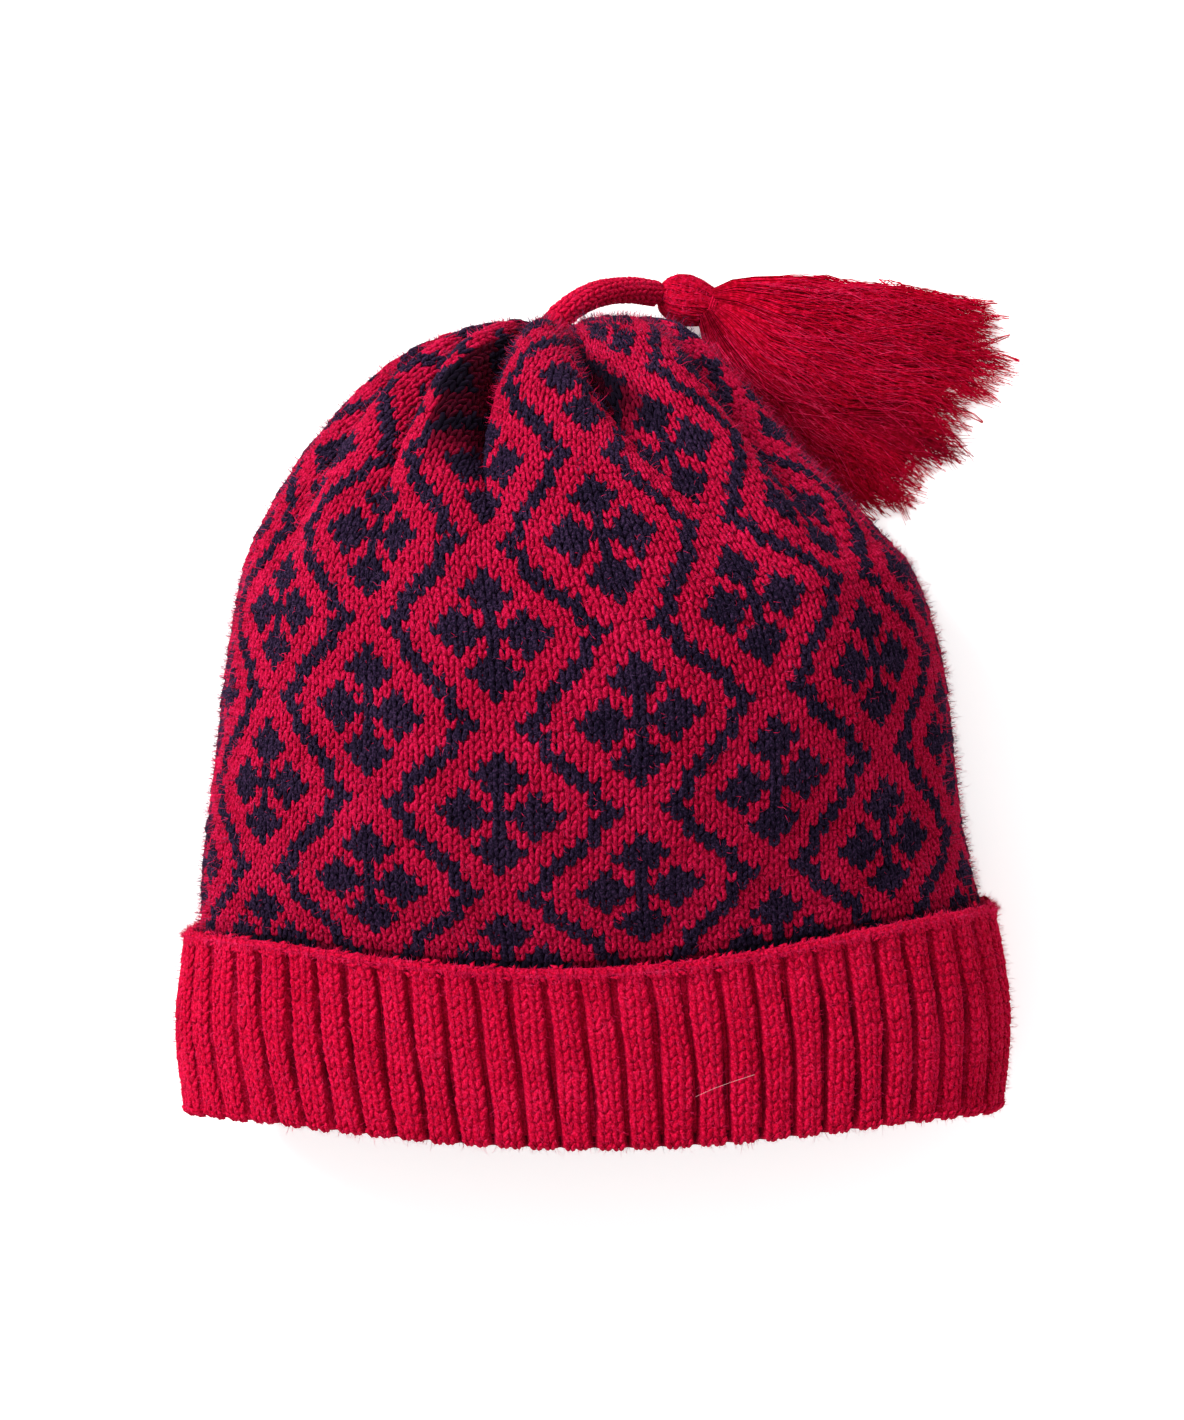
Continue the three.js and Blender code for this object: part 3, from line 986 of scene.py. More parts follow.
class YarnShapes:
    """The low shapes that are repeated: a knit stitch and a loose fibre, in a cell of 1 by 1 by 1."""

    LEG_TOP = (0.42, 0.90, -0.34)
    LEG_FOOT = (0.06, -0.66, -0.04)
    LEG_ARCH = (0.03, 0, 0.24)
    LEG_RADIUS_ACROSS = 0.205
    LEG_RADIUS_UP = 0.36
    LEG_FIRST_RING = 0.24
    LEG_RING_SPAN = 0.50
    FIBRE_BEND = (0.22, 0.03, 0.66)
    FIBRE_TIP = (0.75, 0.16, 0.95)
    FIBRE_TAPER = 0.8

    def leg(self, sign: int, stations: int, sides: int) -> tuple[np.ndarray, np.ndarray]:
        """One leg of a knit stitch's V, as a closed spindle.

        Its top lies under the feet of the stitches above, and its foot over the ones below.

        Args:
            sign: 1 for the right leg and -1 for the left.
            stations: How many rings it has between its ends.
            sides: How many points a ring has.

        Returns:
            The points and the triangles.
        """
        mirror = np.array([sign, 1, 1])
        top = np.array(self.LEG_TOP) * mirror
        foot = np.array(self.LEG_FOOT) * mirror
        arch = np.array(self.LEG_ARCH) * mirror
        way = (foot - top) / np.linalg.norm((foot - top)[:2])
        across = np.array([-way[1], way[0], 0]) * self.LEG_RADIUS_ACROSS
        up = np.array([0, 0, self.LEG_RADIUS_UP])
        angles = (np.arange(sides) + 0.25) * 2 * np.pi / sides
        rings = []
        for i in range(stations):
            t = 0.5 if stations == 1 else self.LEG_FIRST_RING + self.LEG_RING_SPAN * i / (stations - 1)
            centre = top + (foot - top) * t + arch * math.sin(math.pi * t)
            rings.append(centre + np.cos(angles)[:, None] * across + np.sin(angles)[:, None] * up)
        points, faces = tube(rings)
        points[-2:] = [top, foot]
        return points, faces

    def stitch(self, name: str, stations: int, sides: int) -> bpy.types.Object:
        """A knit stitch: two legs that meet at its foot.

        Args:
            name: The shape's name.
            stations: How many rings a leg has between its ends.
            sides: How many points a ring has.

        Returns:
            The shape, out of the scene.
        """
        left_points, faces = self.leg(-1, stations, sides)
        right_points, right_faces = self.leg(1, stations, sides)
        points = np.concatenate([left_points, right_points])
        made = plain_mesh(name, points / MM, np.concatenate([faces, right_faces + len(left_points)]))
        face_outwards(made)
        return self._hidden(made)

    def fibre(self) -> bpy.types.Object:
        """A loose fibre: a bent, tapering strip that stands up from its root.

        Returns:
            The shape, out of the scene.
        """
        root, bend, tip = np.zeros(3), np.array(self.FIBRE_BEND), np.array(self.FIBRE_TIP)
        across = np.array([0, FIBRE_ASPECT / 2, 0])
        thinner = across * self.FIBRE_TAPER
        points = np.array([root - across, root + across, bend - thinner, bend + thinner, tip])
        return self._hidden(plain_mesh("fibre_shape", points / MM, [(0, 1, 3), (0, 3, 2), (2, 3, 4)]))

    @staticmethod
    def _hidden(shape: bpy.types.Object) -> bpy.types.Object:
        """Keeps a shape out of the scene, for use by the groups alone."""
        bpy.context.scene.collection.objects.unlink(shape)
        return shape


@dataclass
class Workshop:
    """What every sub-assembly needs: the groups, the repeated shapes and the finishes.

    Attributes:
        groups: The Geometry Nodes groups.
        random: The seeded random numbers.
        wools: The made materials, by finish name.
        stitch: The knit stitch that is seen from near.
        plain_stitch: The plainer knit stitch, for the back and the edge.
        fibre: The loose fibre.
    """

    groups: NodeGroups = field(default_factory=NodeGroups)
    random: np.random.Generator = field(default_factory=lambda: np.random.default_rng(SEED))
    wools: dict[str, bpy.types.Material] = field(default_factory=dict)
    stitch: bpy.types.Object = field(init=False)
    plain_stitch: bpy.types.Object = field(init=False)
    fibre: bpy.types.Object = field(init=False)

    def __post_init__(self) -> None:
        """Makes the shapes and the materials."""
        shapes = YarnShapes()
        self.stitch = shapes.stitch("stitch_shape", 2, 5)
        self.plain_stitch = shapes.stitch("plain_stitch_shape", 1, 4)
        self.fibre = shapes.fibre()
        for wool in FINISHES:
            self.wools[wool.name] = wool.make()

    def wool(self, finish: Wool) -> bpy.types.Material:
        """The material of a finish."""
        return self.wools[finish.name]

    def set_yarn(
        self, name: str, places: YarnPoints, shape: bpy.types.Object, main: Wool, second: Wool
    ) -> bpy.types.Object:
        """Sets a yarn shape on each place and returns the plain mesh.

        Args:
            name: The piece's name.
            places: Where the yarn lies.
            shape: The shape that is repeated.
            main: The finish of most of it.
            second: The finish where the dye is 1.

        Returns:
            The plain mesh object.
        """
        values = {"Yarn": shape, "Main Wool": self.wool(main), "Second Wool": self.wool(second)}
        made = self.groups.apply(places.seed(name + "_points"), self.groups.field, values, name)
        made.data.polygons.foreach_set("use_smooth", [True] * len(made.data.polygons))
        return made

    def sweep(
        self,
        name: str,
        lines: list[np.ndarray],
        radii: list[np.ndarray],
        finish: Wool,
        sides: int = 3,
        painted_shades: list[np.ndarray] | None = None,
    ) -> bpy.types.Object:
        """Sweeps strands along lines of points, in millimetres, with a radius at each point.

        Args:
            name: The piece's name.
            lines: The points of each strand.
            radii: The radius at each of them.
            finish: The strands' finish.
            sides: How many sides a strand has.
            painted_shades: How much painted shade each point gets, from 0 to 1.

        Returns:
            The plain mesh object.
        """
        points = np.concatenate(lines)
        edges, start = [], 0
        for line in lines:
            index = np.arange(start, start + len(line) - 1)
            edges.append(np.stack([index, index + 1], -1))
            start += len(line)
        mesh = bpy.data.meshes.new(name + "_lines")
        mesh.from_pydata((points * MM).tolist(), np.concatenate(edges).tolist(), [])
        store_numbers(mesh, "thickness", np.concatenate(radii) * MM)
        if painted_shades:
            store_numbers(mesh, "fold", np.concatenate(painted_shades))
        seed_object = bpy.data.objects.new(name + "_lines", mesh)
        bpy.context.scene.collection.objects.link(seed_object)
        values = {"Sides": sides, "Wool": self.wool(finish)}
        return self.groups.apply(seed_object, self.groups.strands, values, name)

    def fuzz_places(
        self,
        points: np.ndarray,
        normals: np.ndarray,
        length: tuple[float, float],
        width: float,
        dyes: np.ndarray,
        painted_shades: np.ndarray | None = None,
        halo: float = 1.0,
    ) -> YarnPoints:
        """Places for loose fibres at points, leaning at random from the normals.

        Args:
            points: Where the fibres are rooted.
            normals: The way out of the yarn there.
            length: The shortest and the longest fibre, in millimetres.
            width: A fibre's middle width.
            dyes: Which of two finishes each fibre has.
            painted_shades: How much painted shade each fibre gets, from 0 to 1.
            halo: How many times longer a fibre may be where the cap's outline is.

        Returns:
            The places.
        """
        count = len(points)
        angle = self.random.uniform(0, 2 * np.pi, count)
        helper = np.where(np.abs(normals[:, :1]) < 0.8, np.array([[1.0, 0, 0]]), np.array([[0, 1.0, 0]]))
        first = unit(np.cross(normals, helper))
        second = np.cross(normals, first)
        way = np.cos(angle)[:, None] * first + np.sin(angle)[:, None] * second
        rim = np.abs(normals[:, 2]) < RIM_SLOPE
        lean = np.clip(self.random.normal(np.where(rim, 0.25, 0.55), 0.3, count), 0, 1.3)[:, None]
        up = unit(normals * np.cos(lean) + way * np.sin(lean))
        side = unit(np.cross(np.cross(up, way), up))
        side = np.where(np.linalg.norm(side, axis=1, keepdims=True) < 0.5, first, side)
        forward = np.cross(up, side)
        reach = self.random.uniform(*length, count)
        reach = np.where(rim, reach * self.random.uniform(1.0, halo, count), reach)
        widths = width * self.random.uniform(0.6, 1.2, count) / FIBRE_ASPECT
        sizes = np.stack([reach, widths, reach], axis=1)
        return YarnPoints(points, euler_angles(side, forward, up), sizes, dyes, painted_shades)


def settle(piece: bpy.types.Object, slot_name: str, *nodes: str) -> bpy.types.Object:
    """Makes a piece ride on the root and stand for its nodes, which are hidden.

    Args:
        piece: The piece.
        slot_name: Not used.
        nodes: The part's nodes that it replaces, if any.

    Returns:
        The same piece.
    """
    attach(piece, "root")
    if nodes:
        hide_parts(*nodes)
    return piece


@dataclass
class Crown:
    """The jacquard crown: its fabric wall, every stitch of its outside, and the fuzz on it."""

    shop: Workshop
    fabric_inset: float = 1.0
    stitch_inset: float = 0.5
    stitch_depth: float = 1.75
    usual_stitch: float = 2.85
    turn_noise: float = 0.1
    size_noise: float = 0.09
    place_noise: float = 0.13
    nap_inset: float = 0.1
    fuzz_count: int = 52000
    fuzz_length: tuple[float, float] = (0.7, 1.8)
    fuzz_width: float = 0.1
    fuzz_halo: float = 2.5
    first_course: int = -38
    last_course: int = 42
    navy_bloom: float = 0.14
    navy_rise: float = 0.18
    stray_share: float = 0.16

    @staticmethod
    def fold(course: float, wales: np.ndarray) -> np.ndarray:
        """How much painted shade the fabric gets, from 0 to 1: down the folds between gathers, and where the
        brim meets it.

        Args:
            course: The course.
            wales: The wales of the points.

        Returns:
            The painted shade, from 0 to 1.
        """
        shade = np.zeros(np.shape(wales))
        gathered = 1 - 0.4 * float(smoothstep(course, 25, 38))
        # Painted shade down each valley between gathers.
        for valley, row in zip(FORM.valley_wales(course), VALLEY_SHADE_ROWS):
            dark = dict(zip(VALLEY_SHADE_COLUMNS, row))
            away = np.mod(wales - valley + WALES / 2, WALES) - WALES / 2
            reach = np.where(away < 0, dark["left"], dark["right"]) * gathered
            lit = smoothstep(np.abs(away) / reach, 1 - dark["fade"], 1.0)
            risen = float(smoothstep(course, dark["start"] - 2, dark["start"] + 5))
            shade = np.maximum(shade, (1 - lit**1.5) * risen)
        # Painted shade on the crown just above the brim's edge.
        edge = Brim.course(BRIM_HEIGHT)
        return np.maximum(shade, 0.85 * (1 - float(smoothstep(course - edge, 0.1, 1.5))))

    def fabric(self) -> bpy.types.Object:
        """The wall under the stitches, closed round the hem and the gathered top.

        Returns:
            The piece.
        """
        columns = np.arange(0, WALES, 0.5)
        inner = [*np.arange(29, 4, -2.0), 4, -5, -14, -23, -32, HEM_COURSE]
        outer = [HEM_COURSE, *np.arange(-39.0, TOP_COURSE + 1)]
        rings = [FORM.inside(course, columns, CROWN_WALL) for course in inner]
        rings += [FORM.surface(course, columns, self.fabric_inset) for course in outer]
        for ring in rings:
            ring[:, 2] = np.maximum(ring[:, 2], 0.25)
        points, faces = tube(rings)
        made = plain_mesh("crown_fabric", points, faces)
        made.data.materials.append(self.shop.wool(CRIMSON_JACQUARD))
        made.data.materials.append(self.shop.wool(NAVY_JACQUARD))
        first, size = len(inner), len(columns)
        row = np.minimum(faces.min(axis=1) // size, len(rings) - 1)
        column = faces[:, 0] % size
        is_outer = (faces.max(axis=1) < len(rings) * size) & (row >= first)
        courses = np.array([0.0] * first + outer)
        navy = is_navy(np.round(columns[column]).astype(int), np.round(courses[row]).astype(int))
        made.data.polygons.foreach_set("material_index", (is_outer & navy).astype(int))
        # Painted shade, carried to the material by the fold attribute.
        painted_shades = np.zeros(len(points))
        outer_painted_shades = np.concatenate([self.fold(float(course), columns) for course in outer])
        painted_shades[first * size : len(rings) * size] = outer_painted_shades
        store_numbers(made.data, "fold", painted_shades)
        return made

    def stitch_places(self) -> tuple[YarnPoints, np.ndarray]:
        """A place for each stitch, and the way out of the fabric there.

        Returns:
            The places and the directions, one row each.
        """
        courses = np.arange(self.first_course, self.last_course + 1)
        fine_courses = np.arange(self.first_course - 0.5, self.last_course + 0.51, 0.5)
        fine_wales = np.arange(-0.5, WALES, 0.5)
        grid = np.array([FORM.surface(course, fine_wales, self.stitch_inset) for course in fine_courses])
        middle = grid[1::2, 1::2]
        width = grid[1::2, 2::2][:, : middle.shape[1]] - grid[1::2, 0:-1:2][:, : middle.shape[1]]
        height = grid[2::2, 1::2][: middle.shape[0]] - grid[0:-1:2, 1::2][: middle.shape[0]]
        wale_index, course_index = np.meshgrid(np.arange(middle.shape[1]), courses)
        dye = is_navy(wale_index, course_index).ravel().astype(float)
        # Painted shade for each stitch.
        painted_shades = np.concatenate([self.fold(float(course), np.arange(middle.shape[1])) for course in courses])
        middle, width, height = (a.reshape(-1, 3) for a in (middle, width, height))
        normal = unit(np.cross(width, height))
        forward = unit(height)
        side = unit(np.cross(forward, normal))
        count = len(middle)
        turn = self.shop.random.normal(0, self.turn_noise, count)[:, None]
        side, forward = (
            side * np.cos(turn) + forward * np.sin(turn),
            forward * np.cos(turn) - side * np.sin(turn),
        )
        wide = np.linalg.norm(width, axis=1)
        tall = np.linalg.norm(height, axis=1)
        bulk = np.clip(np.sqrt(wide * tall) / self.usual_stitch, 0.45, 1.1)
        bloom = 1 + self.navy_bloom * dye
        taller = 1.06 * (1 + 0.06 * dye)
        sizes = np.stack([wide * 1.04 * bloom, tall * taller, self.stitch_depth * bulk], axis=1)
        sizes *= self.shop.random.normal(1, self.size_noise, (count, 3))
        rise = normal * (self.navy_rise * dye)[:, None]
        places = middle + self.shop.random.normal(0, self.place_noise, (count, 3)) + rise
        places[:, 2] = np.maximum(places[:, 2], LOWEST_YARN)
        return YarnPoints(places, euler_angles(side, forward, normal), sizes, dye, painted_shades), normal

    def fuzz_roots(self) -> tuple[np.ndarray, np.ndarray]:
        """Where loose fibres are rooted, with more of them at the cap's sides and along its top.

        Returns:
            Their wales and their courses.
        """
        random, count = self.shop.random, self.fuzz_count
        lowest, highest = self.first_course, self.last_course - 1
        wales = random.uniform(0, WALES, count)
        sides = count // 6
        rim_wales = random.choice([FRONT_WALE - WALES / 4, FRONT_WALE + WALES / 4], sides)
        wales[:sides] = np.mod(rim_wales + random.normal(0, 5, sides), WALES)
        courses = random.uniform(lowest, highest, count)
        tops = slice(sides, sides + count // 9)
        wales[tops] = np.mod(FRONT_WALE + random.uniform(-50, 50, count // 9), WALES)
        courses[tops] = random.uniform(VALLEY_COURSE, highest, count // 9)
        return wales, courses

    def fuzz(self) -> bpy.types.Object:
        """Loose fibres over the whole crown.

        Returns:
            The piece.
        """
        random, count = self.shop.random, self.fuzz_count
        wales, courses = self.fuzz_roots()
        points = np.zeros((count, 3))
        normals = np.zeros((count, 3))
        painted_shades = np.zeros(count)
        nearest = np.round((courses - self.first_course) * 2).astype(int)
        for index in np.unique(nearest):
            chosen = nearest == index
            course = self.first_course + 0.5 * float(index)
            here = wales[chosen]
            around = FORM.surface(course, here + 0.3) - FORM.surface(course, here - 0.3)
            along = FORM.surface(min(course + 0.3, TOP_COURSE), here) - FORM.surface(course - 0.3, here)
            points[chosen] = FORM.surface(course, here, self.nap_inset)
            normals[chosen] = unit(np.cross(around, along))
            # Painted shade for each fibre.
            painted_shades[chosen] = self.fold(course, here)
        keep = points[:, 2] > LOWEST_FUZZ
        dyes = is_navy(np.round(wales).astype(int) % WALES, np.round(courses).astype(int)).astype(float)
        strays = random.uniform(0, 1, count) < self.stray_share
        dyes = np.where(strays, 1 - dyes, dyes)
        rim = np.abs(normals[:, 2]) < RIM_SLOPE
        kept_share = np.where(normals[:, 2] < -0.4, 0.25, np.where(dyes > 0.5, 0.75, 0.9))
        keep &= rim | (random.uniform(0, 1, count) < kept_share)
        places = self.shop.fuzz_places(
            points[keep],
            normals[keep],
            self.fuzz_length,
            self.fuzz_width,
            dyes[keep],
            painted_shades[keep],
            self.fuzz_halo,
        )
        return self.shop.set_yarn("crown_fuzz", places, self.shop.fibre, CRIMSON_NAP_PAINTED_HIGHLIGHT, NAVY_NAP_PAINTED_HIGHLIGHT)

    def build(self) -> list[bpy.types.Object]:
        """Builds the crown.

        Returns:
            Its pieces.
        """
        pieces = [settle(self.fabric(), "jacquard_wool", "crown")]
        places, normal = self.stitch_places()
        back = normal[:, 2] < -0.35
        left = places.points[:, 0] < -4
        regions = {
            Region.FRONT_LEFT: ~back & left,
            Region.FRONT_RIGHT: ~back & ~left,
            Region.BACK: back,
        }
        for region, mask in regions.items():
            name = "crown_stitches_" + region.value
            shape = self.shop.plain_stitch if region is Region.BACK else self.shop.stitch
            piece = self.shop.set_yarn(name, places.chosen(mask), shape, CRIMSON_JACQUARD, NAVY_JACQUARD)
            pieces.append(settle(piece, "jacquard_wool"))
        pieces.append(settle(self.fuzz(), "jacquard_wool"))
        return pieces


@dataclass
class Brim:
    """The ribbed brim, turned up double: its fabric, the knit stitches on its ribs, and its fuzz."""

    shop: Workshop
    columns_per_rib: int = 8
    groove: float = 2.5
    groove_width: float = 0.105
    fabric_sink: float = 0.55
    stitch_sink: float = 0.45
    fuzz_sink: float = 0.05
    stitch_rows: int = 18
    leg_offset: float = 0.58
    stitch_depth: float = 1.5
    size_noise: float = 0.07
    place_noise: float = 0.09
    fold_radius: float = 2.6
    fuzz_count: int = 27000
    fuzz_length: tuple[float, float] = (0.7, 1.7)
    fuzz_width: float = 0.1
    fuzz_halo: float = 1.9
    hair_route: tuple = ((25.3, -90.4, 86.5), (30.0, -88.2, 87.4), (34.5, -86.6, 87.5), (39.8, -84.9, 87.3))
    hair_radius: float = 0.05

    def lean(self, height: np.ndarray | float) -> np.ndarray | float:
        """Wales that the ribs have drifted at a height above the fold."""
        return RIB_PHASE + RIB_LEAN * WALES * (1 - np.asarray(height) / BRIM_HEIGHT)

    @staticmethod
    def wander(height: float, wales: np.ndarray) -> np.ndarray:
        """Wales that each rib strays to one side at a height, as hand-washed ribbing does.

        Args:
            height: The height above the fold.
            wales: The ribs' wales.

        Returns:
            The wales that each one strays.
        """
        slow = 0.08 * np.sin(height / 8.5 + wales * 0.83) + 0.06 * np.sin(height / 3.9 + wales * 1.31 + 2.0)
        return slow * smoothstep(height, -4, 6)

    @staticmethod
    def course(height: float) -> float:
        """The cap's course behind a height above the fold."""
        return BRIM_FOLD_COURSE + height / COURSE_HEIGHT

    def phase(self, height: float, wales: np.ndarray) -> np.ndarray:
        """The place of each wale across its rib at a height, where 0 is a crest."""
        return (wales - float(self.lean(height)) - self.wander(height, wales)) / RIB_WALES

    def relief(self, phase: np.ndarray, strength: float) -> np.ndarray:
        """How deep the surface lies below a rib's crest, where phase 0.5 is the groove.

        Args:
            phase: The place across a rib.
            strength: How strongly the ribs show, from 0 to 1.

        Returns:
            The depth, in millimetres.
        """
        away = np.abs(np.mod(phase, 1) - 0.5)
        groove = self.groove * np.exp(-((away / self.groove_width) ** 2))
        crown = 0.8 * (1 - (away / 0.5)) ** 2
        return (groove + crown) * strength

    def fold(self, height: float, wales: np.ndarray) -> np.ndarray:
        """How much painted shade the face gets down a groove between ribs, from 0 to 1.

        Args:
            height: The height above the fold.
            wales: The wales of the points.

        Returns:
            The painted shade, from 0 to 1.
        """
        phase = self.phase(height, wales)
        return smoothstep(self.relief(phase, self.strength(height)), 0.9, 2.3) * 0.85

    def strength(self, height: float) -> float:
        """How strongly the ribs show at a height: they die away at the edge and the fold.

        Args:
            height: The height above the fold.

        Returns:
            The strength, from 0 to 1.
        """
        top = 1 - float(smoothstep(height, BRIM_HEIGHT - 4.0, BRIM_HEIGHT - 0.8))
        fold = 0.55 + 0.45 * float(smoothstep(height, 0, 3))
        return top * fold

    def point(self, height: float, wales: np.ndarray, out: float, ribbed: float) -> np.ndarray:
        """Points of the brim at a height, a distance out from the crown's skin.

        Args:
            height: The height above the fold.
            wales: The wales of the points.
            out: The distance, in millimetres.
            ribbed: How strongly the ribs show there.

        Returns:
            The points, one row each, in millimetres.
        """
        course = self.course(height)
        drawn = self.relief(self.phase(height, wales), ribbed)
        points = FORM.skin(course, wales) + FORM.skin_normal(course, wales) * (out - drawn)[:, None]
        points[:, 2] = np.maximum(points[:, 2], 0.15)
        return points

    def out_at(self, height: float, sink: float) -> float:
        """How far out the face lies at a height: it rounds over at the fold and at the edge.

        Args:
            height: The height above the fold.
            sink: How far below the yarn's outside it lies.

        Returns:
            The distance from the crown's skin, in millimetres.
        """
        face = PLY_GAP - SEAT + PLY - sink
        low = max(self.fold_radius - height, 0)
        high = max(height - (BRIM_HEIGHT - 1.2), 0)
        face -= self.fold_radius - math.sqrt(max(self.fold_radius**2 - low**2, 0))
        return face - 0.6 * high**2

    def fabric(self) -> bpy.types.Object:
        """Both plies and the fold between them, as one closed band.

        Returns:
            The piece.
        """
        outer = PLY_GAP - SEAT
        face = outer + PLY - self.fabric_sink
        rows = [(BRIM_HEIGHT - 0.8, outer, 0.0), (BRIM_HEIGHT + 0.1, outer + 0.8, 0.0)]
        rows += [(BRIM_HEIGHT + 0.2, face - 1.0, 0.0), (BRIM_HEIGHT - 0.5, face - 0.15, 0.05)]
        for height in np.arange(BRIM_HEIGHT - 1.8, 3.0, -1.3):
            rows.append((float(height), face, self.strength(float(height))))
        rows += [(h, self.out_at(h, self.fabric_sink), self.strength(h)) for h in (1.9, 1.1, 0.5, 0.1)]
        rows += [(-0.1, 0.0, 0.1), (0.9, -SEAT - PLY * 0.6, 0.1)]
        for height in np.linspace(3.2, INNER_PLY_HEIGHT, 9):
            rows.append((float(height), -SEAT - CROWN_WALL, -0.35))
        rows += [(INNER_PLY_HEIGHT, -SEAT, 0.0), (3.2, -SEAT, 0.0), (3.2, outer, 0.0)]
        rings = []
        count = RIBS * self.columns_per_rib
        painted_shades = []
        for height, out, ribbed in reversed(rows):
            wales = np.arange(count) * WALES / count + float(self.lean(height))
            height = max(height, 0.0)
            rings.append(self.point(height, wales, out, ribbed))
            # Painted shade in the grooves between ribs, carried by the fold attribute.
            painted_shades.append(self.fold(height, wales) if ribbed > 0.06 else np.zeros(count))
        points = np.concatenate(rings)
        made = plain_mesh("brim_fabric", points, ring_faces(len(rings), count, True))
        made.data.materials.append(self.shop.wool(BRUSHED_RIB))
        store_numbers(made.data, "fold", np.concatenate(painted_shades))
        return made

    def edge_places(self) -> YarnPoints:
        """Places for the stitches that lie along the brim's rolled edge.

        Returns:
            The places.
        """
        wales = np.arange(0, WALES, 0.75)
        rows = []
        for height, out in ((BRIM_HEIGHT - 1.6, -0.75), (BRIM_HEIGHT - 0.5, -1.25)):
            middle = self.point(height, wales, PLY_GAP - SEAT + PLY + out, 0.0)
            way = unit(self.point(height, wales + 0.4, 3, 0.0) - self.point(height, wales - 0.4, 3, 0.0))
            normal = unit(FORM.skin_normal(self.course(BRIM_HEIGHT), wales) + np.array([0, 0.5, 0]))
            rows.append((middle, way, normal))
        middle, way, normal = (np.concatenate([row[i] for row in rows]) for i in range(3))
        normal = unit(normal - way * (normal * way).sum(axis=1, keepdims=True))
        count = len(middle)
        middle = middle + self.shop.random.normal(0, 0.3, (count, 3))
        sizes = np.tile([2.9, 2.0, 1.3], (count, 1)) * self.shop.random.normal(1, 0.2, (count, 3))
        tilt = self.shop.random.normal(0, 0.5, count)[:, None]
        way = unit(way * np.cos(tilt) + np.cross(way, normal) * np.sin(tilt))
        turns = euler_angles(np.cross(way, normal), way, normal)
        return YarnPoints(middle, turns, sizes, np.zeros(count))

    def stitch_places(self) -> YarnPoints:
        """A place for each knit stitch on the ribs' outside.

        Returns:
            The places.
        """
        gathered = []
        for row in range(self.stitch_rows):
            height = 0.75 + row * (BRIM_HEIGHT - 3.0) / (self.stitch_rows - 1)
            ribs = np.arange(RIBS) * RIB_WALES
            for offset in (-self.leg_offset, self.leg_offset):

                def place(high: float, across: float, offset: float = offset) -> np.ndarray:
                    """Points of one leg of every rib's stitches, a little higher or to the side."""
                    high = min(max(high, 0), BRIM_HEIGHT)
                    wales = ribs + float(self.lean(high)) + offset + across
                    wales = wales + self.wander(high, wales)
                    return self.point(high, wales, self.out_at(high, self.stitch_sink), self.strength(high))

                side = place(height, 0.4) - place(height, -0.4)
                up = place(height + 1.1, 0) - place(height - 1.1, 0)
                gathered.append((place(height, 0), side / 0.8 * 1.16, up))
        middle = np.concatenate([g[0] for g in gathered])
        width = np.concatenate([g[1] for g in gathered])
        tall = np.concatenate([g[2] for g in gathered])
        normal = unit(np.cross(width, tall))
        forward = unit(tall)
        side = np.cross(forward, normal)
        count = len(middle)
        sizes = np.tile([1, COURSE_HEIGHT * 1.1, self.stitch_depth], (count, 1))
        sizes[:, 0] = np.linalg.norm(width, axis=1)
        sizes *= self.shop.random.normal(1, self.size_noise, (count, 3))
        middle = middle + self.shop.random.normal(0, self.place_noise, (count, 3))
        middle[:, 2] = np.maximum(middle[:, 2], LOWEST_YARN)
        return YarnPoints(middle, euler_angles(side, forward, normal), sizes, np.zeros(count))

    def fuzz(self) -> bpy.types.Object:
        """Loose fibres over the ribs, the edge and the fold.

        Returns:
            The piece.
        """
        count = self.fuzz_count
        heights = self.shop.random.uniform(-1, BRIM_HEIGHT, count)
        heights[: count // 5] = self.shop.random.uniform(BRIM_HEIGHT - 1.5, BRIM_HEIGHT, count // 5)
        wales = self.shop.random.uniform(0, WALES, count)
        bands = np.round(np.clip(heights, 0, BRIM_HEIGHT)).astype(int)
        points = np.zeros((count, 3))
        normals = np.zeros((count, 3))
        painted_shades = np.zeros(count)
        for band in np.unique(bands):
            chosen = bands == band
            height = float(band)
            strength = self.strength(height)
            points[chosen] = self.point(height, wales[chosen], self.out_at(height, self.fuzz_sink), strength)
            # Painted shade for each fibre.
            painted_shades[chosen] = self.fold(height, wales[chosen])
            normals[chosen] = FORM.skin_normal(self.course(height), wales[chosen])
            if height < 2:
                normals[chosen] = unit(normals[chosen] * 0.5 + np.array([0, -1.0, 0]))
            if height > BRIM_HEIGHT - 1:
                normals[chosen] = unit(normals[chosen] * 0.7 + np.array([0, 1.0, 0]))
        kept_share = np.where(normals[:, 2] < -0.4, 0.2, 1.0)
        keep = (points[:, 2] > LOWEST_FUZZ) & (self.shop.random.uniform(0, 1, count) < kept_share)
        places = self.shop.fuzz_places(
            points[keep],
            normals[keep],
            self.fuzz_length,
            self.fuzz_width,
            np.zeros(int(keep.sum())),
            painted_shades[keep],
            self.fuzz_halo,
        )
        return self.shop.set_yarn("brim_fuzz", places, self.shop.fibre, CRIMSON_NAP_PAINTED_HIGHLIGHT, CRIMSON_NAP_PAINTED_HIGHLIGHT)

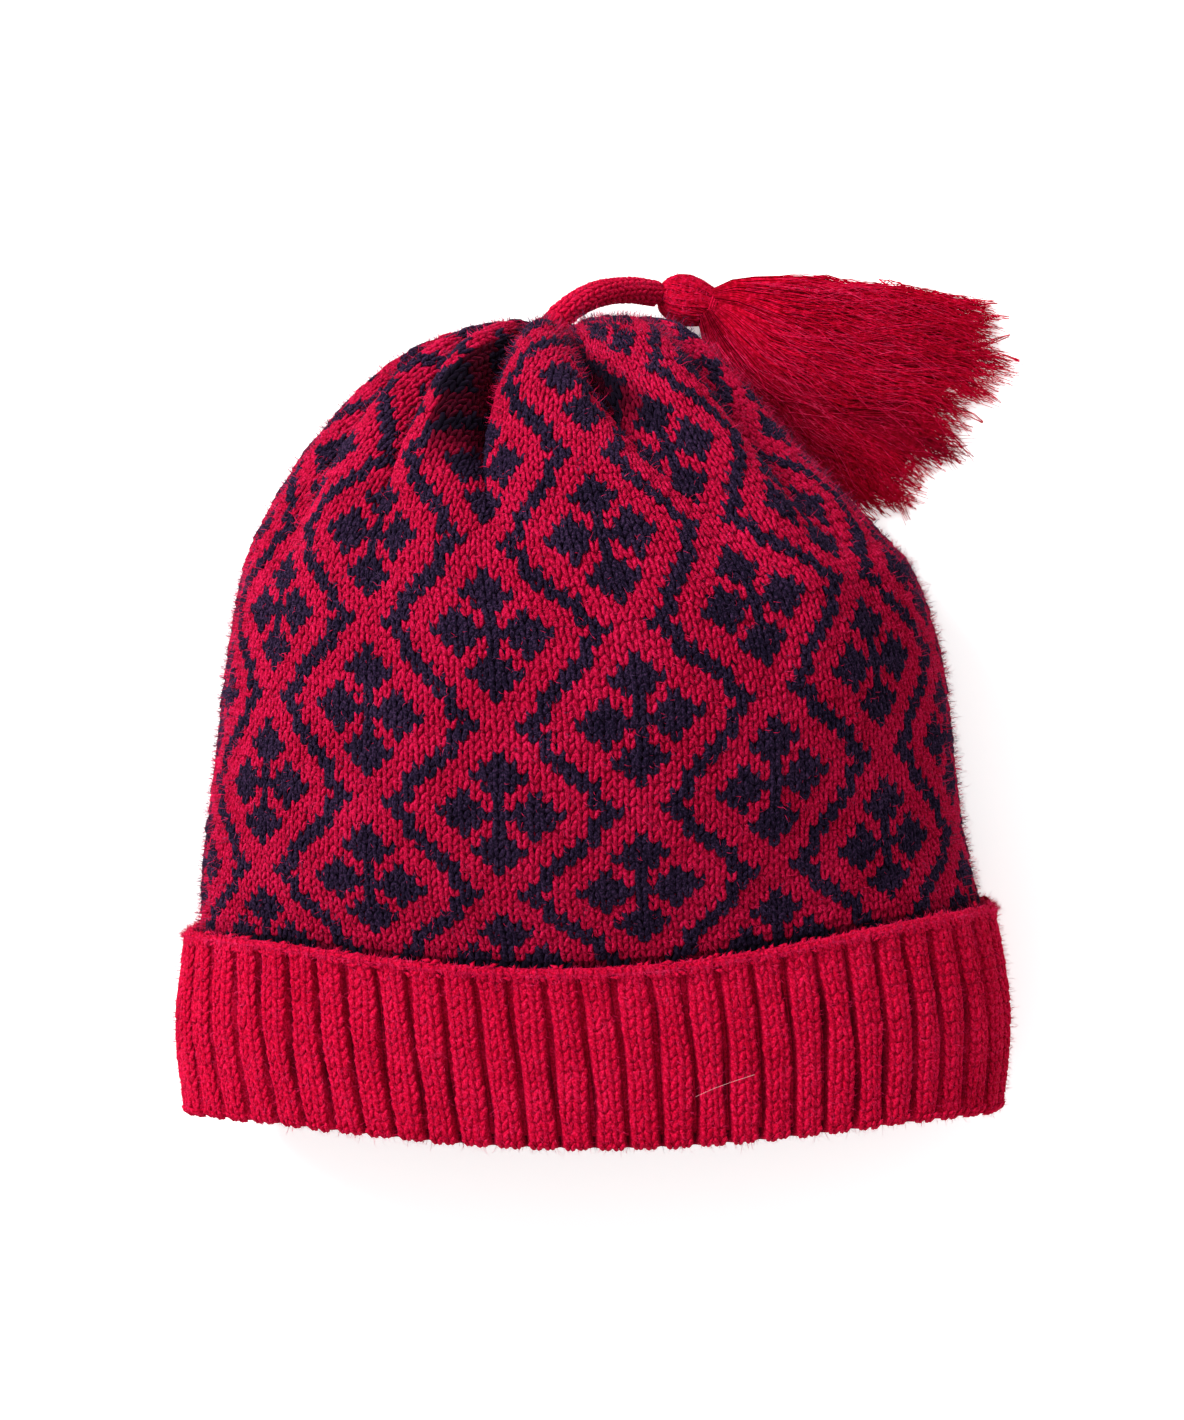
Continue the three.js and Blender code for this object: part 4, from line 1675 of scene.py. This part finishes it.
    def build(self) -> list[bpy.types.Object]:
        """Builds the brim.

        Returns:
            Its pieces.
        """
        pieces = [settle(self.fabric(), "rib_wool", "ribbed_brim")]
        places = self.stitch_places()
        front = places.points[:, 2] >= FORM.section(self.course(0.5 * BRIM_HEIGHT))["side"] - 12
        for name, chosen, shape in (
            ("brim_stitches_front", places.chosen(front), self.shop.stitch),
            ("brim_stitches_back", places.chosen(~front), self.shop.plain_stitch),
            ("brim_edge_stitches", self.edge_places(), self.shop.plain_stitch),
        ):
            piece = self.shop.set_yarn(name, chosen, shape, BRUSHED_RIB, BRUSHED_RIB)
            pieces.append(settle(piece, "rib_wool"))
        hair = np.array(self.hair_route)
        radii = np.full(len(hair), self.hair_radius)
        pieces.append(settle(self.shop.sweep("stray_hair", [hair], [radii], STRAY_HAIR), "rib_wool"))
        pieces.append(settle(self.fuzz(), "rib_wool"))
        return pieces


def smooth_route(points: np.ndarray, count: int) -> np.ndarray:
    """A smooth curve through points, as evenly spaced points.

    Args:
        points: The points, one row each.
        count: How many points to give.

    Returns:
        The new points, one row each.
    """
    padded = np.concatenate([[2 * points[0] - points[1]], points, [2 * points[-1] - points[-2]]])
    fine = []
    for i in range(1, len(padded) - 2):
        a, b, c, d = padded[i - 1 : i + 3]
        bend, twist = 2 * a - 5 * b + 4 * c - d, 3 * b - a - 3 * c + d
        for t in np.linspace(0, 1, 16, endpoint=False):
            fine.append(0.5 * (2 * b + (c - a) * t + bend * t**2 + twist * t**3))
    fine.append(points[-1])
    fine = np.array(fine)
    reach = np.concatenate([[0], np.cumsum(np.linalg.norm(np.diff(fine, axis=0), axis=1))])
    wanted = np.linspace(0, reach[-1], count)
    return np.stack([np.interp(wanted, reach, fine[:, i]) for i in range(3)], axis=1)


@dataclass
class Cord:
    """The knitted cord between the gathered top and the tassel's head."""

    shop: Workshop
    stitches_round: int = 7
    stitch_length: float = 2.3
    stitch_depth: float = 1.2
    route_points: int = 34
    body_sides: int = 16
    body_radius: float = CORD_DIAMETER / 2 - 0.3
    fuzz_count: int = 1300
    fuzz_length: tuple[float, float] = (0.6, 1.3)
    fuzz_width: float = 0.1

    def __post_init__(self) -> None:
        """Works out the route, the directions across it and its length up to each point."""
        self.route = smooth_route(np.array(CORD_ROUTE), self.route_points)
        self.along = unit(np.gradient(self.route, axis=0))
        self.across = unit(np.cross(self.along, np.array([0.0, 0, 1.0])))
        self.over = np.cross(self.across, self.along)
        steps = np.linalg.norm(np.diff(self.route, axis=0), axis=1)
        self.reach = np.concatenate([[0], np.cumsum(steps)])
        self.length = float(steps.sum())

    def body(self) -> bpy.types.Object:
        """The cord's core, drawn in a little at its ends.

        Returns:
            The mesh object.
        """
        angles = np.arange(self.body_sides) * 2 * np.pi / self.body_sides
        rings = []
        for i, centre in enumerate(self.route):
            fall = 0.6 if i in (0, len(self.route) - 1) else 1.0
            ring = np.cos(angles)[:, None] * self.across[i] - np.sin(angles)[:, None] * self.over[i]
            rings.append(centre + ring * self.body_radius * fall)
        points, faces = tube(rings)
        made = plain_mesh("cord_body", points, faces[:, ::-1])
        face_outwards(made)
        made.data.materials.append(self.shop.wool(KNITTED_CORD))
        return made

    def stitch_places(self) -> tuple[YarnPoints, np.ndarray]:
        """A place for each knit stitch round the cord, and the way out of the cord there.

        Returns:
            The places and the directions, one row each.
        """
        middles, sides, ways, ups = [], [], [], []
        for row in range(int(self.length / self.stitch_length)):
            for column in range(self.stitches_round):
                s = (row + 0.5 + 0.1 * math.sin(column)) * self.stitch_length
                turn = (column / self.stitches_round + row * 0.012) * 2 * np.pi
                i = min(np.searchsorted(self.reach, s), len(self.route) - 1)
                centre = np.array([np.interp(s, self.reach, self.route[:, k]) for k in range(3)])
                up = math.cos(turn) * self.across[i] + math.sin(turn) * self.over[i]
                middles.append(centre + up * (self.body_radius + 0.05))
                sides.append(np.cross(self.along[i], up))
                ways.append(self.along[i])
                ups.append(up)
        count = len(middles)
        wide = 2 * np.pi * (self.body_radius + 0.2) / self.stitches_round
        sizes = np.tile([wide * 1.05, self.stitch_length, self.stitch_depth], (count, 1))
        sizes = sizes * self.shop.random.normal(1, 0.05, (count, 3))
        ups = np.array(ups)
        turns = euler_angles(np.array(sides), np.array(ways), ups)
        return YarnPoints(np.array(middles), turns, sizes, np.zeros(count)), ups

    def build(self) -> bpy.types.Object:
        """Builds the cord.

        Returns:
            The cord's piece.
        """
        random, count = self.shop.random, self.fuzz_count
        body = self.body()
        places, ups = self.stitch_places()
        knit = self.shop.set_yarn("cord_knit", places, self.shop.stitch, KNITTED_CORD, KNITTED_CORD)
        pick = random.integers(0, len(ups), count)
        roots = places.points[pick] + random.normal(0, 0.35, (count, 3))
        fibres = self.shop.fuzz_places(roots, ups[pick], self.fuzz_length, self.fuzz_width, np.zeros(count))
        fuzz = self.shop.set_yarn("cord_fuzz", fibres, self.shop.fibre, CRIMSON_NAP_PAINTED_HIGHLIGHT, CRIMSON_NAP_PAINTED_HIGHLIGHT)
        return settle(join("tassel_cord_knit", [body, knit, fuzz]), "cord_wool", "tassel_cord")


def join(name: str, parts: list[bpy.types.Object]) -> bpy.types.Object:
    """Joins meshes into one object.

    Args:
        name: Its name.
        parts: The objects, of which the first is kept.

    Returns:
        The joined object.
    """
    first = parts[0]
    with bpy.context.temp_override(
        active_object=first, selected_objects=parts, selected_editable_objects=parts, object=first
    ):
        bpy.ops.object.join()
    first.name = name
    first.data.name = name
    return first


@dataclass
class Tassel:
    """The tassel: a wound head, a tied neck and a fan of loose combed strands."""

    shop: Workshop
    lock_count: int = 99
    strands_per_lock: int = 24
    strand_points: int = 12
    wisp_count: int = 480
    layers: tuple[float, ...] = (0.18, 0.55, 0.93)
    tip_places: tuple[float, ...] = (
        0.02, 0.05, 0.1, 0.16, 0.24, 0.36, 0.47, 0.58, 0.66, 0.77, 0.86, 0.93, 0.98
    )
    strands_per_tip: int = 7
    head_sides: int = 24
    head_strands: int = 230
    head_fuzz_count: int = 900
    tie_turns: int = 3
    tie_radius: float = 0.32
    tie_spacing: float = 0.62
    tie_out: float = 0.95

    def __post_init__(self) -> None:
        """Works out the neck's place and direction."""
        angle = math.radians(NECK_ANGLE)
        self.way = np.array([math.cos(angle), math.sin(angle), 0.0])
        self.centre = np.array(HEAD_CENTRE)
        self.neck = self.centre + self.way * NECK_DISTANCE
        self.side = np.array([-self.way[1], self.way[0], 0.0])
        self.locks = {name: [row[i] for row in LOCK_ROWS] for i, name in enumerate(LOCK_COLUMNS)}

    def fan(self, name: str, place: np.ndarray) -> np.ndarray:
        """A lock's value at a place across the fan, 0 at its first lock and 1 at its last."""
        return np.interp(place, np.linspace(0, 1, len(self.locks[name])), self.locks[name])

    def path(self, place: float, share: np.ndarray, reach: float) -> np.ndarray:
        """The level line of the fan's fibres at a place across it, up to a share of its length.

        Args:
            place: The place across the fan, from 0 to 1.
            share: Shares of the length.
            reach: The length, as a share of the fan's.

        Returns:
            The points, as rows of X and Y in millimetres.
        """
        angle = float(self.fan("angle", place))
        length = float(self.fan("length", place)) * reach
        swing = math.radians(angle + float(self.fan("bow", place)) * 1.6)
        start = self.neck[:2]
        tip = start + length * np.array([math.cos(math.radians(angle)), math.sin(math.radians(angle))])
        bend = start + 0.42 * length * np.array([math.cos(swing), math.sin(swing)])
        t = share[:, None]
        line = (1 - t) ** 2 * start + 2 * t * (1 - t) * bend + t**2 * tip
        droop = FAN_DROOP * 4 * place * (1 - place) * np.sin(np.pi * np.clip(share * 1.15, 0, 1)) ** 1.3
        way = math.radians(angle - 90)
        return line + droop[:, None] * np.array([math.cos(way), math.sin(way)])

    @staticmethod
    def half_width(share: np.ndarray) -> np.ndarray:
        """How far a lock's yarn spreads to each side of its line, at a share of its length."""
        shares = [0, 0.04, 0.12, 0.33, 0.5, 0.67, 0.83, 1.0]
        return np.interp(share, shares, [4.4, 5.8, 6.4, 6.0, 4.6, 3.0, 2.0, 1.0])

    @staticmethod
    def thickness(share: np.ndarray) -> np.ndarray:
        """The fan's full height at a share of its length."""
        shares = [0, 0.04, 0.12, 0.4, 0.65, 0.85, 1.0]
        return np.interp(share, shares, [9.8, 11.6, 12.4, 12.8, 10.0, 6.4, 2.6])

    def core(self) -> bpy.types.Object:
        """The mass of yarn under the loose strands.

        Returns:
            The mesh object.
        """
        shares = np.linspace(0.0, 0.95, 26)
        around = 40
        rings = []
        for share in shares:
            height = float(self.thickness(np.array([share]))[0]) * 0.8
            spread = float(smoothstep(share, -0.05, 0.16))
            ring = []
            for j in range(around):
                turn = 2 * np.pi * j / around
                across, up = math.cos(turn), math.sin(turn)
                place = 0.5 - 0.47 * math.copysign(abs(across) ** 0.75, across)
                ragged = 0.95 - 0.06 * math.sin(place * 21) ** 2 * share
                level = self.path(place, np.array([share]), ragged)[0]
                mound = 1 + 0.10 * math.sin(place * 16.0 + 1.0) + 0.07 * math.sin(place * 31.0)
                z = height / 2 * mound * math.copysign(abs(up) ** 0.8, up)
                sideways = self.side[:2] * NECK_RADIUS * across * (1 - spread * 0.5)
                lift = self.centre[2] * (1 - spread) + (height / 2 + 0.4) * spread
                ring.append([*(level + sideways), max(lift + z, 0.2)])
            rings.append(np.array(ring))
        points, faces = tube(rings)
        made = plain_mesh("tassel_core", points, faces)
        # Painted shade: the whole core is darkened, as it lies under the strands.
        store_numbers(made.data, "fold", np.full(len(points), 0.45))
        face_outwards(made)
        made.data.materials.append(self.shop.wool(COMBED_YARN))
        return made

    def lock(
        self, place: float, lift: float, reach: float, share: np.ndarray
    ) -> tuple[np.ndarray, np.ndarray]:
        """The line of a lock of strands.

        Args:
            place: Where it lies across the fan, from 0 to 1.
            lift: How high it lies in the fan's thickness, from 0 to 1.
            reach: Its length, as a share of the fan's.
            share: Shares of its length to give points at.

        Returns:
            Its points, and the level way across it at each.
        """
        random = self.shop.random
        level = self.path(place, share, reach)
        across = unit(np.stack([-np.gradient(level[:, 1]), np.gradient(level[:, 0])], axis=1))
        travel = share * reach * 74
        swing = random.uniform(0.8, 2.8)
        wave = swing * np.sin(2 * np.pi * (travel / random.uniform(20, 40) + random.uniform()))
        wave = wave * min(1.0, 0.35 + min(place, 1 - place) * 5)
        wave = wave * smoothstep(share, 0.08, 0.6)
        spread = (1 - 2 * place) * self.half_width(share * reach)
        thickness = self.thickness(share * reach)
        layer = 1.12 - 0.34 * float(smoothstep(place, 0.50, 0.56))
        z = 0.4 + lift * (thickness - 0.6) * layer
        neck_z = self.centre[2] + (lift - 0.5) * 2 * 4.9
        settled = smoothstep(share, 0.0, 0.1)
        z = neck_z * (1 - settled) + z * settled
        points = np.concatenate([level + across * (wave + spread)[:, None], z[:, None]], axis=1)
        return points, np.concatenate([across, np.zeros((len(share), 1))], axis=1)

    def strands_of(self, place: float, lift: float, reach: float, count: int, steps: int) -> list[np.ndarray]:
        """The strands of one lock, which run together into a wisp at its tip.

        Args:
            place: Where the lock lies across the fan, from 0 to 1.
            lift: How high it lies in the fan's thickness, from 0 to 1.
            reach: Its length, as a share of the fan's.
            count: How many strands it has.
            steps: How many points a strand has.

        Returns:
            The points of each strand, in millimetres.
        """
        random = self.shop.random
        share = np.linspace(0, 1, steps)
        middle, across = self.lock(place, lift, reach, share)
        bulk = np.interp(share, [0, 0.1, 0.35, 0.7, 0.9, 1], [0.8, 1.6, 3.0, 3.4, 2.6, 1.7])
        bulk = bulk * min(1.0, 0.4 + min(place, 1 - place) * 6)
        strands = []
        for _ in range(count):
            angle = random.uniform(0, 2 * np.pi) + share * random.normal(0.9, 0.7)
            away = math.sqrt(random.uniform(0.02, 1)) * bulk
            waver = random.uniform(0.25, 0.9)
            waver = waver * np.sin(share * random.uniform(10, 26) + random.uniform(0, 6.3))
            sideways = away * np.cos(angle) + waver * smoothstep(share, 0.1, 0.5)
            strand = middle + across * sideways[:, None]
            strand[:, 2] += away * np.sin(angle) * 0.8
            strand[-1] = strand[-2] + (strand[-1] - strand[-2]) * random.uniform(0.2, 1.25)
            strand[:, 2] = np.maximum(strand[:, 2], 0.3)
            strands.append(strand)
        return strands

    @staticmethod
    def shade(place: float, share: np.ndarray) -> np.ndarray:
        """How dark the fan is: under its upper part, against the crown, and where it is tied.

        Args:
            place: The place across the fan, from 0 to 1.
            share: Shares of the length.

        Returns:
            The darkness at each, from 0 to 1.
        """
        under = 0.5 * math.exp(-(((place - 0.60) / 0.06) ** 2)) * smoothstep(share, 0.15, 0.5)
        crown = 0.5 * float(smoothstep(place, 0.45, 0.85)) * (1 - smoothstep(share, 0.4, 0.9))
        tied = 0.45 * (1 - smoothstep(share, 0.0, 0.12))
        return np.maximum(np.maximum(under, crown), tied)

    def strands(self) -> bpy.types.Object:
        """The loose strands of the fan, lock by lock, a quarter of them short ones at its end.

        Returns:
            The mesh object.
        """
        random, count = self.shop.random, self.strand_points
        lines, radii, painted_shades = [], [], []
        share = np.linspace(0, 1, count)
        for i in range(self.lock_count):
            place = (i + random.uniform(0, 1)) / self.lock_count
            edge = min(1.0, min(place, 1 - place) * 7)
            lift = self.layers[i % 3] * (0.55 + 0.45 * edge**0.5) + random.normal(0, 0.04)
            ragged = 0.03 * math.sin(place * 23 + 1) + 0.02 * math.sin(place * 57)
            reach = float(np.clip(random.normal(0.965, 0.02) + ragged, 0.85, 1.04))
            strands = self.strands_of(place, lift, reach, self.strands_per_lock, count)
            for index, line in enumerate(strands):
                first = count // 2 if index % 4 == 3 else 0
                lines.append(line[first:])
                radii.append((np.linspace(1, 0.5, count) * random.uniform(0.12, 0.2))[first:])
                # Painted shade along each strand.
                painted_shades.append(self.shade(place, share)[first:])
        return self.shop.sweep("tassel_strands", lines, radii, COMBED_YARN, painted_shades=painted_shades)

    def wisps(self) -> bpy.types.Object:
        """The thin fibres that lie loose on the fan, made bright by a painted highlight.

        Returns:
            The mesh object.
        """
        random = self.shop.random
        lines, radii = [], []
        for _ in range(self.wisp_count):
            place = random.uniform(0.05, 0.98)
            reach = random.uniform(0.8, 1.0)
            line = self.strands_of(place, random.uniform(0.85, 1.05), reach, 1, 15)[0]
            start = int(random.integers(2, 9))
            stop = int(random.integers(start + 4, 16))
            lines.append(line[start:stop])
            radii.append(np.linspace(0.11, 0.07, len(lines[-1])))
        return self.shop.sweep("tassel_wisps", lines, radii, TASSEL_WISP_PAINTED_HIGHLIGHT)

    def tips(self) -> bpy.types.Object:
        """The twisted ends that stand out of the fan.

        Returns:
            The mesh object.
        """
        random = self.shop.random
        lines, radii = [], []
        share = np.linspace(0, 1, 30)
        first = 18
        for place in self.tip_places:
            middle, across = self.lock(place, random.uniform(0.4, 0.8), random.uniform(0.98, 1.03), share)
            for j in range(self.strands_per_tip):
                spin = share * random.uniform(26, 40) + j * 0.9
                bulk = np.interp(share, [0, 0.75, 0.9, 1], [2.4, 2.1, 1.2, 0.35])
                line = middle + across * (bulk * np.cos(spin))[:, None]
                line[:, 2] = np.maximum(line[:, 2] + bulk * np.sin(spin), 0.3)
                lines.append(line[first:])
                radii.append(np.linspace(0.17, 0.1, len(share) - first))
        return self.shop.sweep("tassel_tips", lines, radii, COMBED_YARN)

    def ball(self, along: np.ndarray, turn: np.ndarray, swell: float) -> np.ndarray:
        """Points on the wound head.

        Args:
            along: Places from its top, at -1, to just past the neck, at 1.05.
            turn: Angles round it.
            swell: How far outside its yarn they lie, in millimetres.

        Returns:
            The points, one row each, in millimetres.
        """
        stations = [-1.0, -0.93, -0.75, -0.4, 0, 0.4, 0.7, 0.9, 1.05]
        profile = np.interp(along, stations, [0.0, 2.4, 4.3, 5.9, 6.5, 6.2, 5.6, 5.1, 4.8])
        radius = (profile + swell)[:, None]
        up = np.array([0, 0, 1.0])
        ring = np.cos(turn)[:, None] * self.side + np.sin(turn)[:, None] * up
        return self.centre + self.way * (along * HEAD_LENGTH / 2)[:, None] + ring * radius

    def head(self) -> list[bpy.types.Object]:
        """The wound head: a ball with strands laid from its top to the neck, and its nap.

        Returns:
            The mesh objects.
        """
        random = self.shop.random
        around = np.arange(self.head_sides) * 2 * np.pi / self.head_sides
        places = (-0.985, -0.93, -0.8, -0.6, -0.35, -0.1, 0.15, 0.4, 0.6, 0.8, 0.95, 1.05)
        rings = [self.ball(np.full(self.head_sides, along), around, -0.35) for along in places]
        points, faces = tube(rings)
        body = plain_mesh("tassel_head_body", points, faces)
        face_outwards(body)
        body.data.materials.append(self.shop.wool(WOUND_YARN))
        lines, radii = [], []
        for _ in range(self.head_strands):
            turn = random.uniform(0, 2 * np.pi)
            drift = random.normal(0, 0.25)
            along = np.linspace(random.uniform(-0.97, -0.5), 1.05, 9)
            lines.append(self.ball(along, turn + drift * along, random.uniform(-0.3, 0.05)))
            radii.append(np.full(len(along), random.uniform(0.2, 0.34)))
        strands = self.shop.sweep("tassel_head_strands", lines, radii, WOUND_YARN)
        along = random.uniform(-0.9, 1.0, self.head_fuzz_count)
        turn = random.uniform(0, 2 * np.pi, self.head_fuzz_count)
        points = self.ball(along, turn, -0.1)
        normals = unit(points - (self.centre + self.way * (along * HEAD_LENGTH / 2)[:, None]))
        keep = points[:, 2] > 1.5
        dyes = np.zeros(int(keep.sum()))
        fibres = self.shop.fuzz_places(points[keep], normals[keep], (0.6, 1.6), 0.1, dyes)
        fuzz = self.shop.set_yarn("tassel_head_fuzz", fibres, self.shop.fibre, CRIMSON_NAP_PAINTED_HIGHLIGHT, CRIMSON_NAP_PAINTED_HIGHLIGHT)
        return [body, strands, fuzz]

    def tie(self) -> bpy.types.Object:
        """The thread wound round the neck.

        Returns:
            The mesh object.
        """
        up = np.array([0, 0, 1.0])
        angle = np.linspace(0, 2 * np.pi, 26)
        ring = np.cos(angle)[:, None] * self.side + np.sin(angle)[:, None] * up
        lines, radii = [], []
        for turn in range(self.tie_turns):
            centre = self.neck + self.way * ((turn - 1) * self.tie_spacing + 0.1 * np.cos(angle))[:, None]
            lines.append(centre + ring * (NECK_RADIUS + self.tie_out))
            radii.append(np.full(len(angle), self.tie_radius))
        return self.shop.sweep("tassel_neck_thread", lines, radii, KNITTED_CORD, 6)

    def build(self) -> list[bpy.types.Object]:
        """Builds the tassel.

        Returns:
            Its pieces, all of which go with the cord.
        """
        skirt = join("tassel_skirt", [self.core(), self.strands(), self.wisps(), self.tips()])
        head = join("tassel_head", self.head())
        return [
            settle(skirt, "tassel_wool", "tassel"),
            settle(head, "tassel_wool", "tassel"),
            settle(self.tie(), "tassel_wool", "tassel_tie"),
        ]


@dataclass
class Studio:
    """The camera above the cap, a white table and soft light from the upper left."""

    key_energy: float = 40.0
    fill_energy: float = 4.0
    world_strength: float = 0.7
    table_glow: float = 0.47
    table_reach: float = 3000.0
    sensor_width: float = 36.0

    def camera(self) -> None:
        """Looks straight down, with the photograph's framing."""
        data = bpy.data.cameras.new("photo_camera")
        data.sensor_fit = "HORIZONTAL"
        data.sensor_width = self.sensor_width
        data.lens = self.sensor_width * CAMERA_HEIGHT / (PHOTO_WIDTH * MM_PER_PIXEL)
        data.clip_start = 0.05
        data.clip_end = 20.0
        camera = bpy.data.objects.new("photo_camera", data)
        camera.location = (CAMERA_X * MM, CAMERA_Y * MM, CAMERA_HEIGHT * MM)
        bpy.context.scene.collection.objects.link(camera)
        bpy.context.scene.camera = camera

    def floor(self) -> None:
        """A plain white table top, just under the cap."""
        turns = ((-1, -1), (1, -1), (1, 1), (-1, 1))
        corners = np.array([[x * self.table_reach, y * self.table_reach, -0.1] for x, y in turns])
        made = plain_mesh("table_top", corners, [(0, 1, 2, 3)])
        material = bpy.data.materials.new("white_table")
        material.use_nodes = True
        shader = material.node_tree.nodes["Principled BSDF"]
        shader.inputs["Base Color"].default_value = linear("#f4f4f4")
        shader.inputs["Roughness"].default_value = 0.8
        shader.inputs["Emission Color"].default_value = (1, 1, 1, 1)
        shader.inputs["Emission Strength"].default_value = self.table_glow
        made.data.materials.append(material)

    def lamp(self, name: str, place: tuple, size: float, energy: float) -> None:
        """A square soft light that faces the cap.

        Args:
            name: The lamp's name.
            place: Where it stands, in metres.
            size: Its side, in metres.
            energy: Its power, in watts.
        """
        data = bpy.data.lights.new(name, "AREA")
        data.shape = "SQUARE"
        data.size = size
        data.energy = energy
        lamp = bpy.data.objects.new(name, data)
        way = np.array(place) - np.array([0, 0, 0.04])
        z = way / np.linalg.norm(way)
        x = np.cross([0, 1, 0], z)
        x = x / np.linalg.norm(x)
        y = np.cross(z, x)
        turn = Matrix((x, y, z)).transposed().to_4x4()
        lamp.matrix_world = Matrix.Translation(place) @ turn
        bpy.context.scene.collection.objects.link(lamp)

    def build(self) -> None:
        """Sets the camera, the table and the lights."""
        self.camera()
        self.floor()
        self.lamp("key_softbox", (-0.95, 0.75, 1.05), 0.6, self.key_energy)
        self.lamp("fill_softbox", (0.3, -0.2, 1.8), 1.4, self.fill_energy)
        world = bpy.data.worlds.new("studio_air")
        world.use_nodes = True
        background = world.node_tree.nodes["Background"]
        background.inputs["Color"].default_value = (1, 1, 1, 1)
        background.inputs["Strength"].default_value = self.world_strength
        bpy.context.scene.world = world
        bpy.context.scene.view_settings.view_transform = "Standard"


def main() -> None:
    """Builds the whole cap and its studio, and reports each piece."""
    logging.basicConfig(level=logging.INFO, format="%(name)s %(message)s")
    Studio().build()
    shop = Workshop()
    cord = Cord(shop)
    cord_piece = cord.build()
    tassel = Tassel(shop).build()
    crown = Crown(shop).build()
    brim = Brim(shop).build()
    for piece in [cord_piece, *tassel, *crown, *brim]:
        LOG.info("%s: %d faces", piece.name, len(piece.data.polygons))
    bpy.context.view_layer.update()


if __name__ == "__main__":
    main()
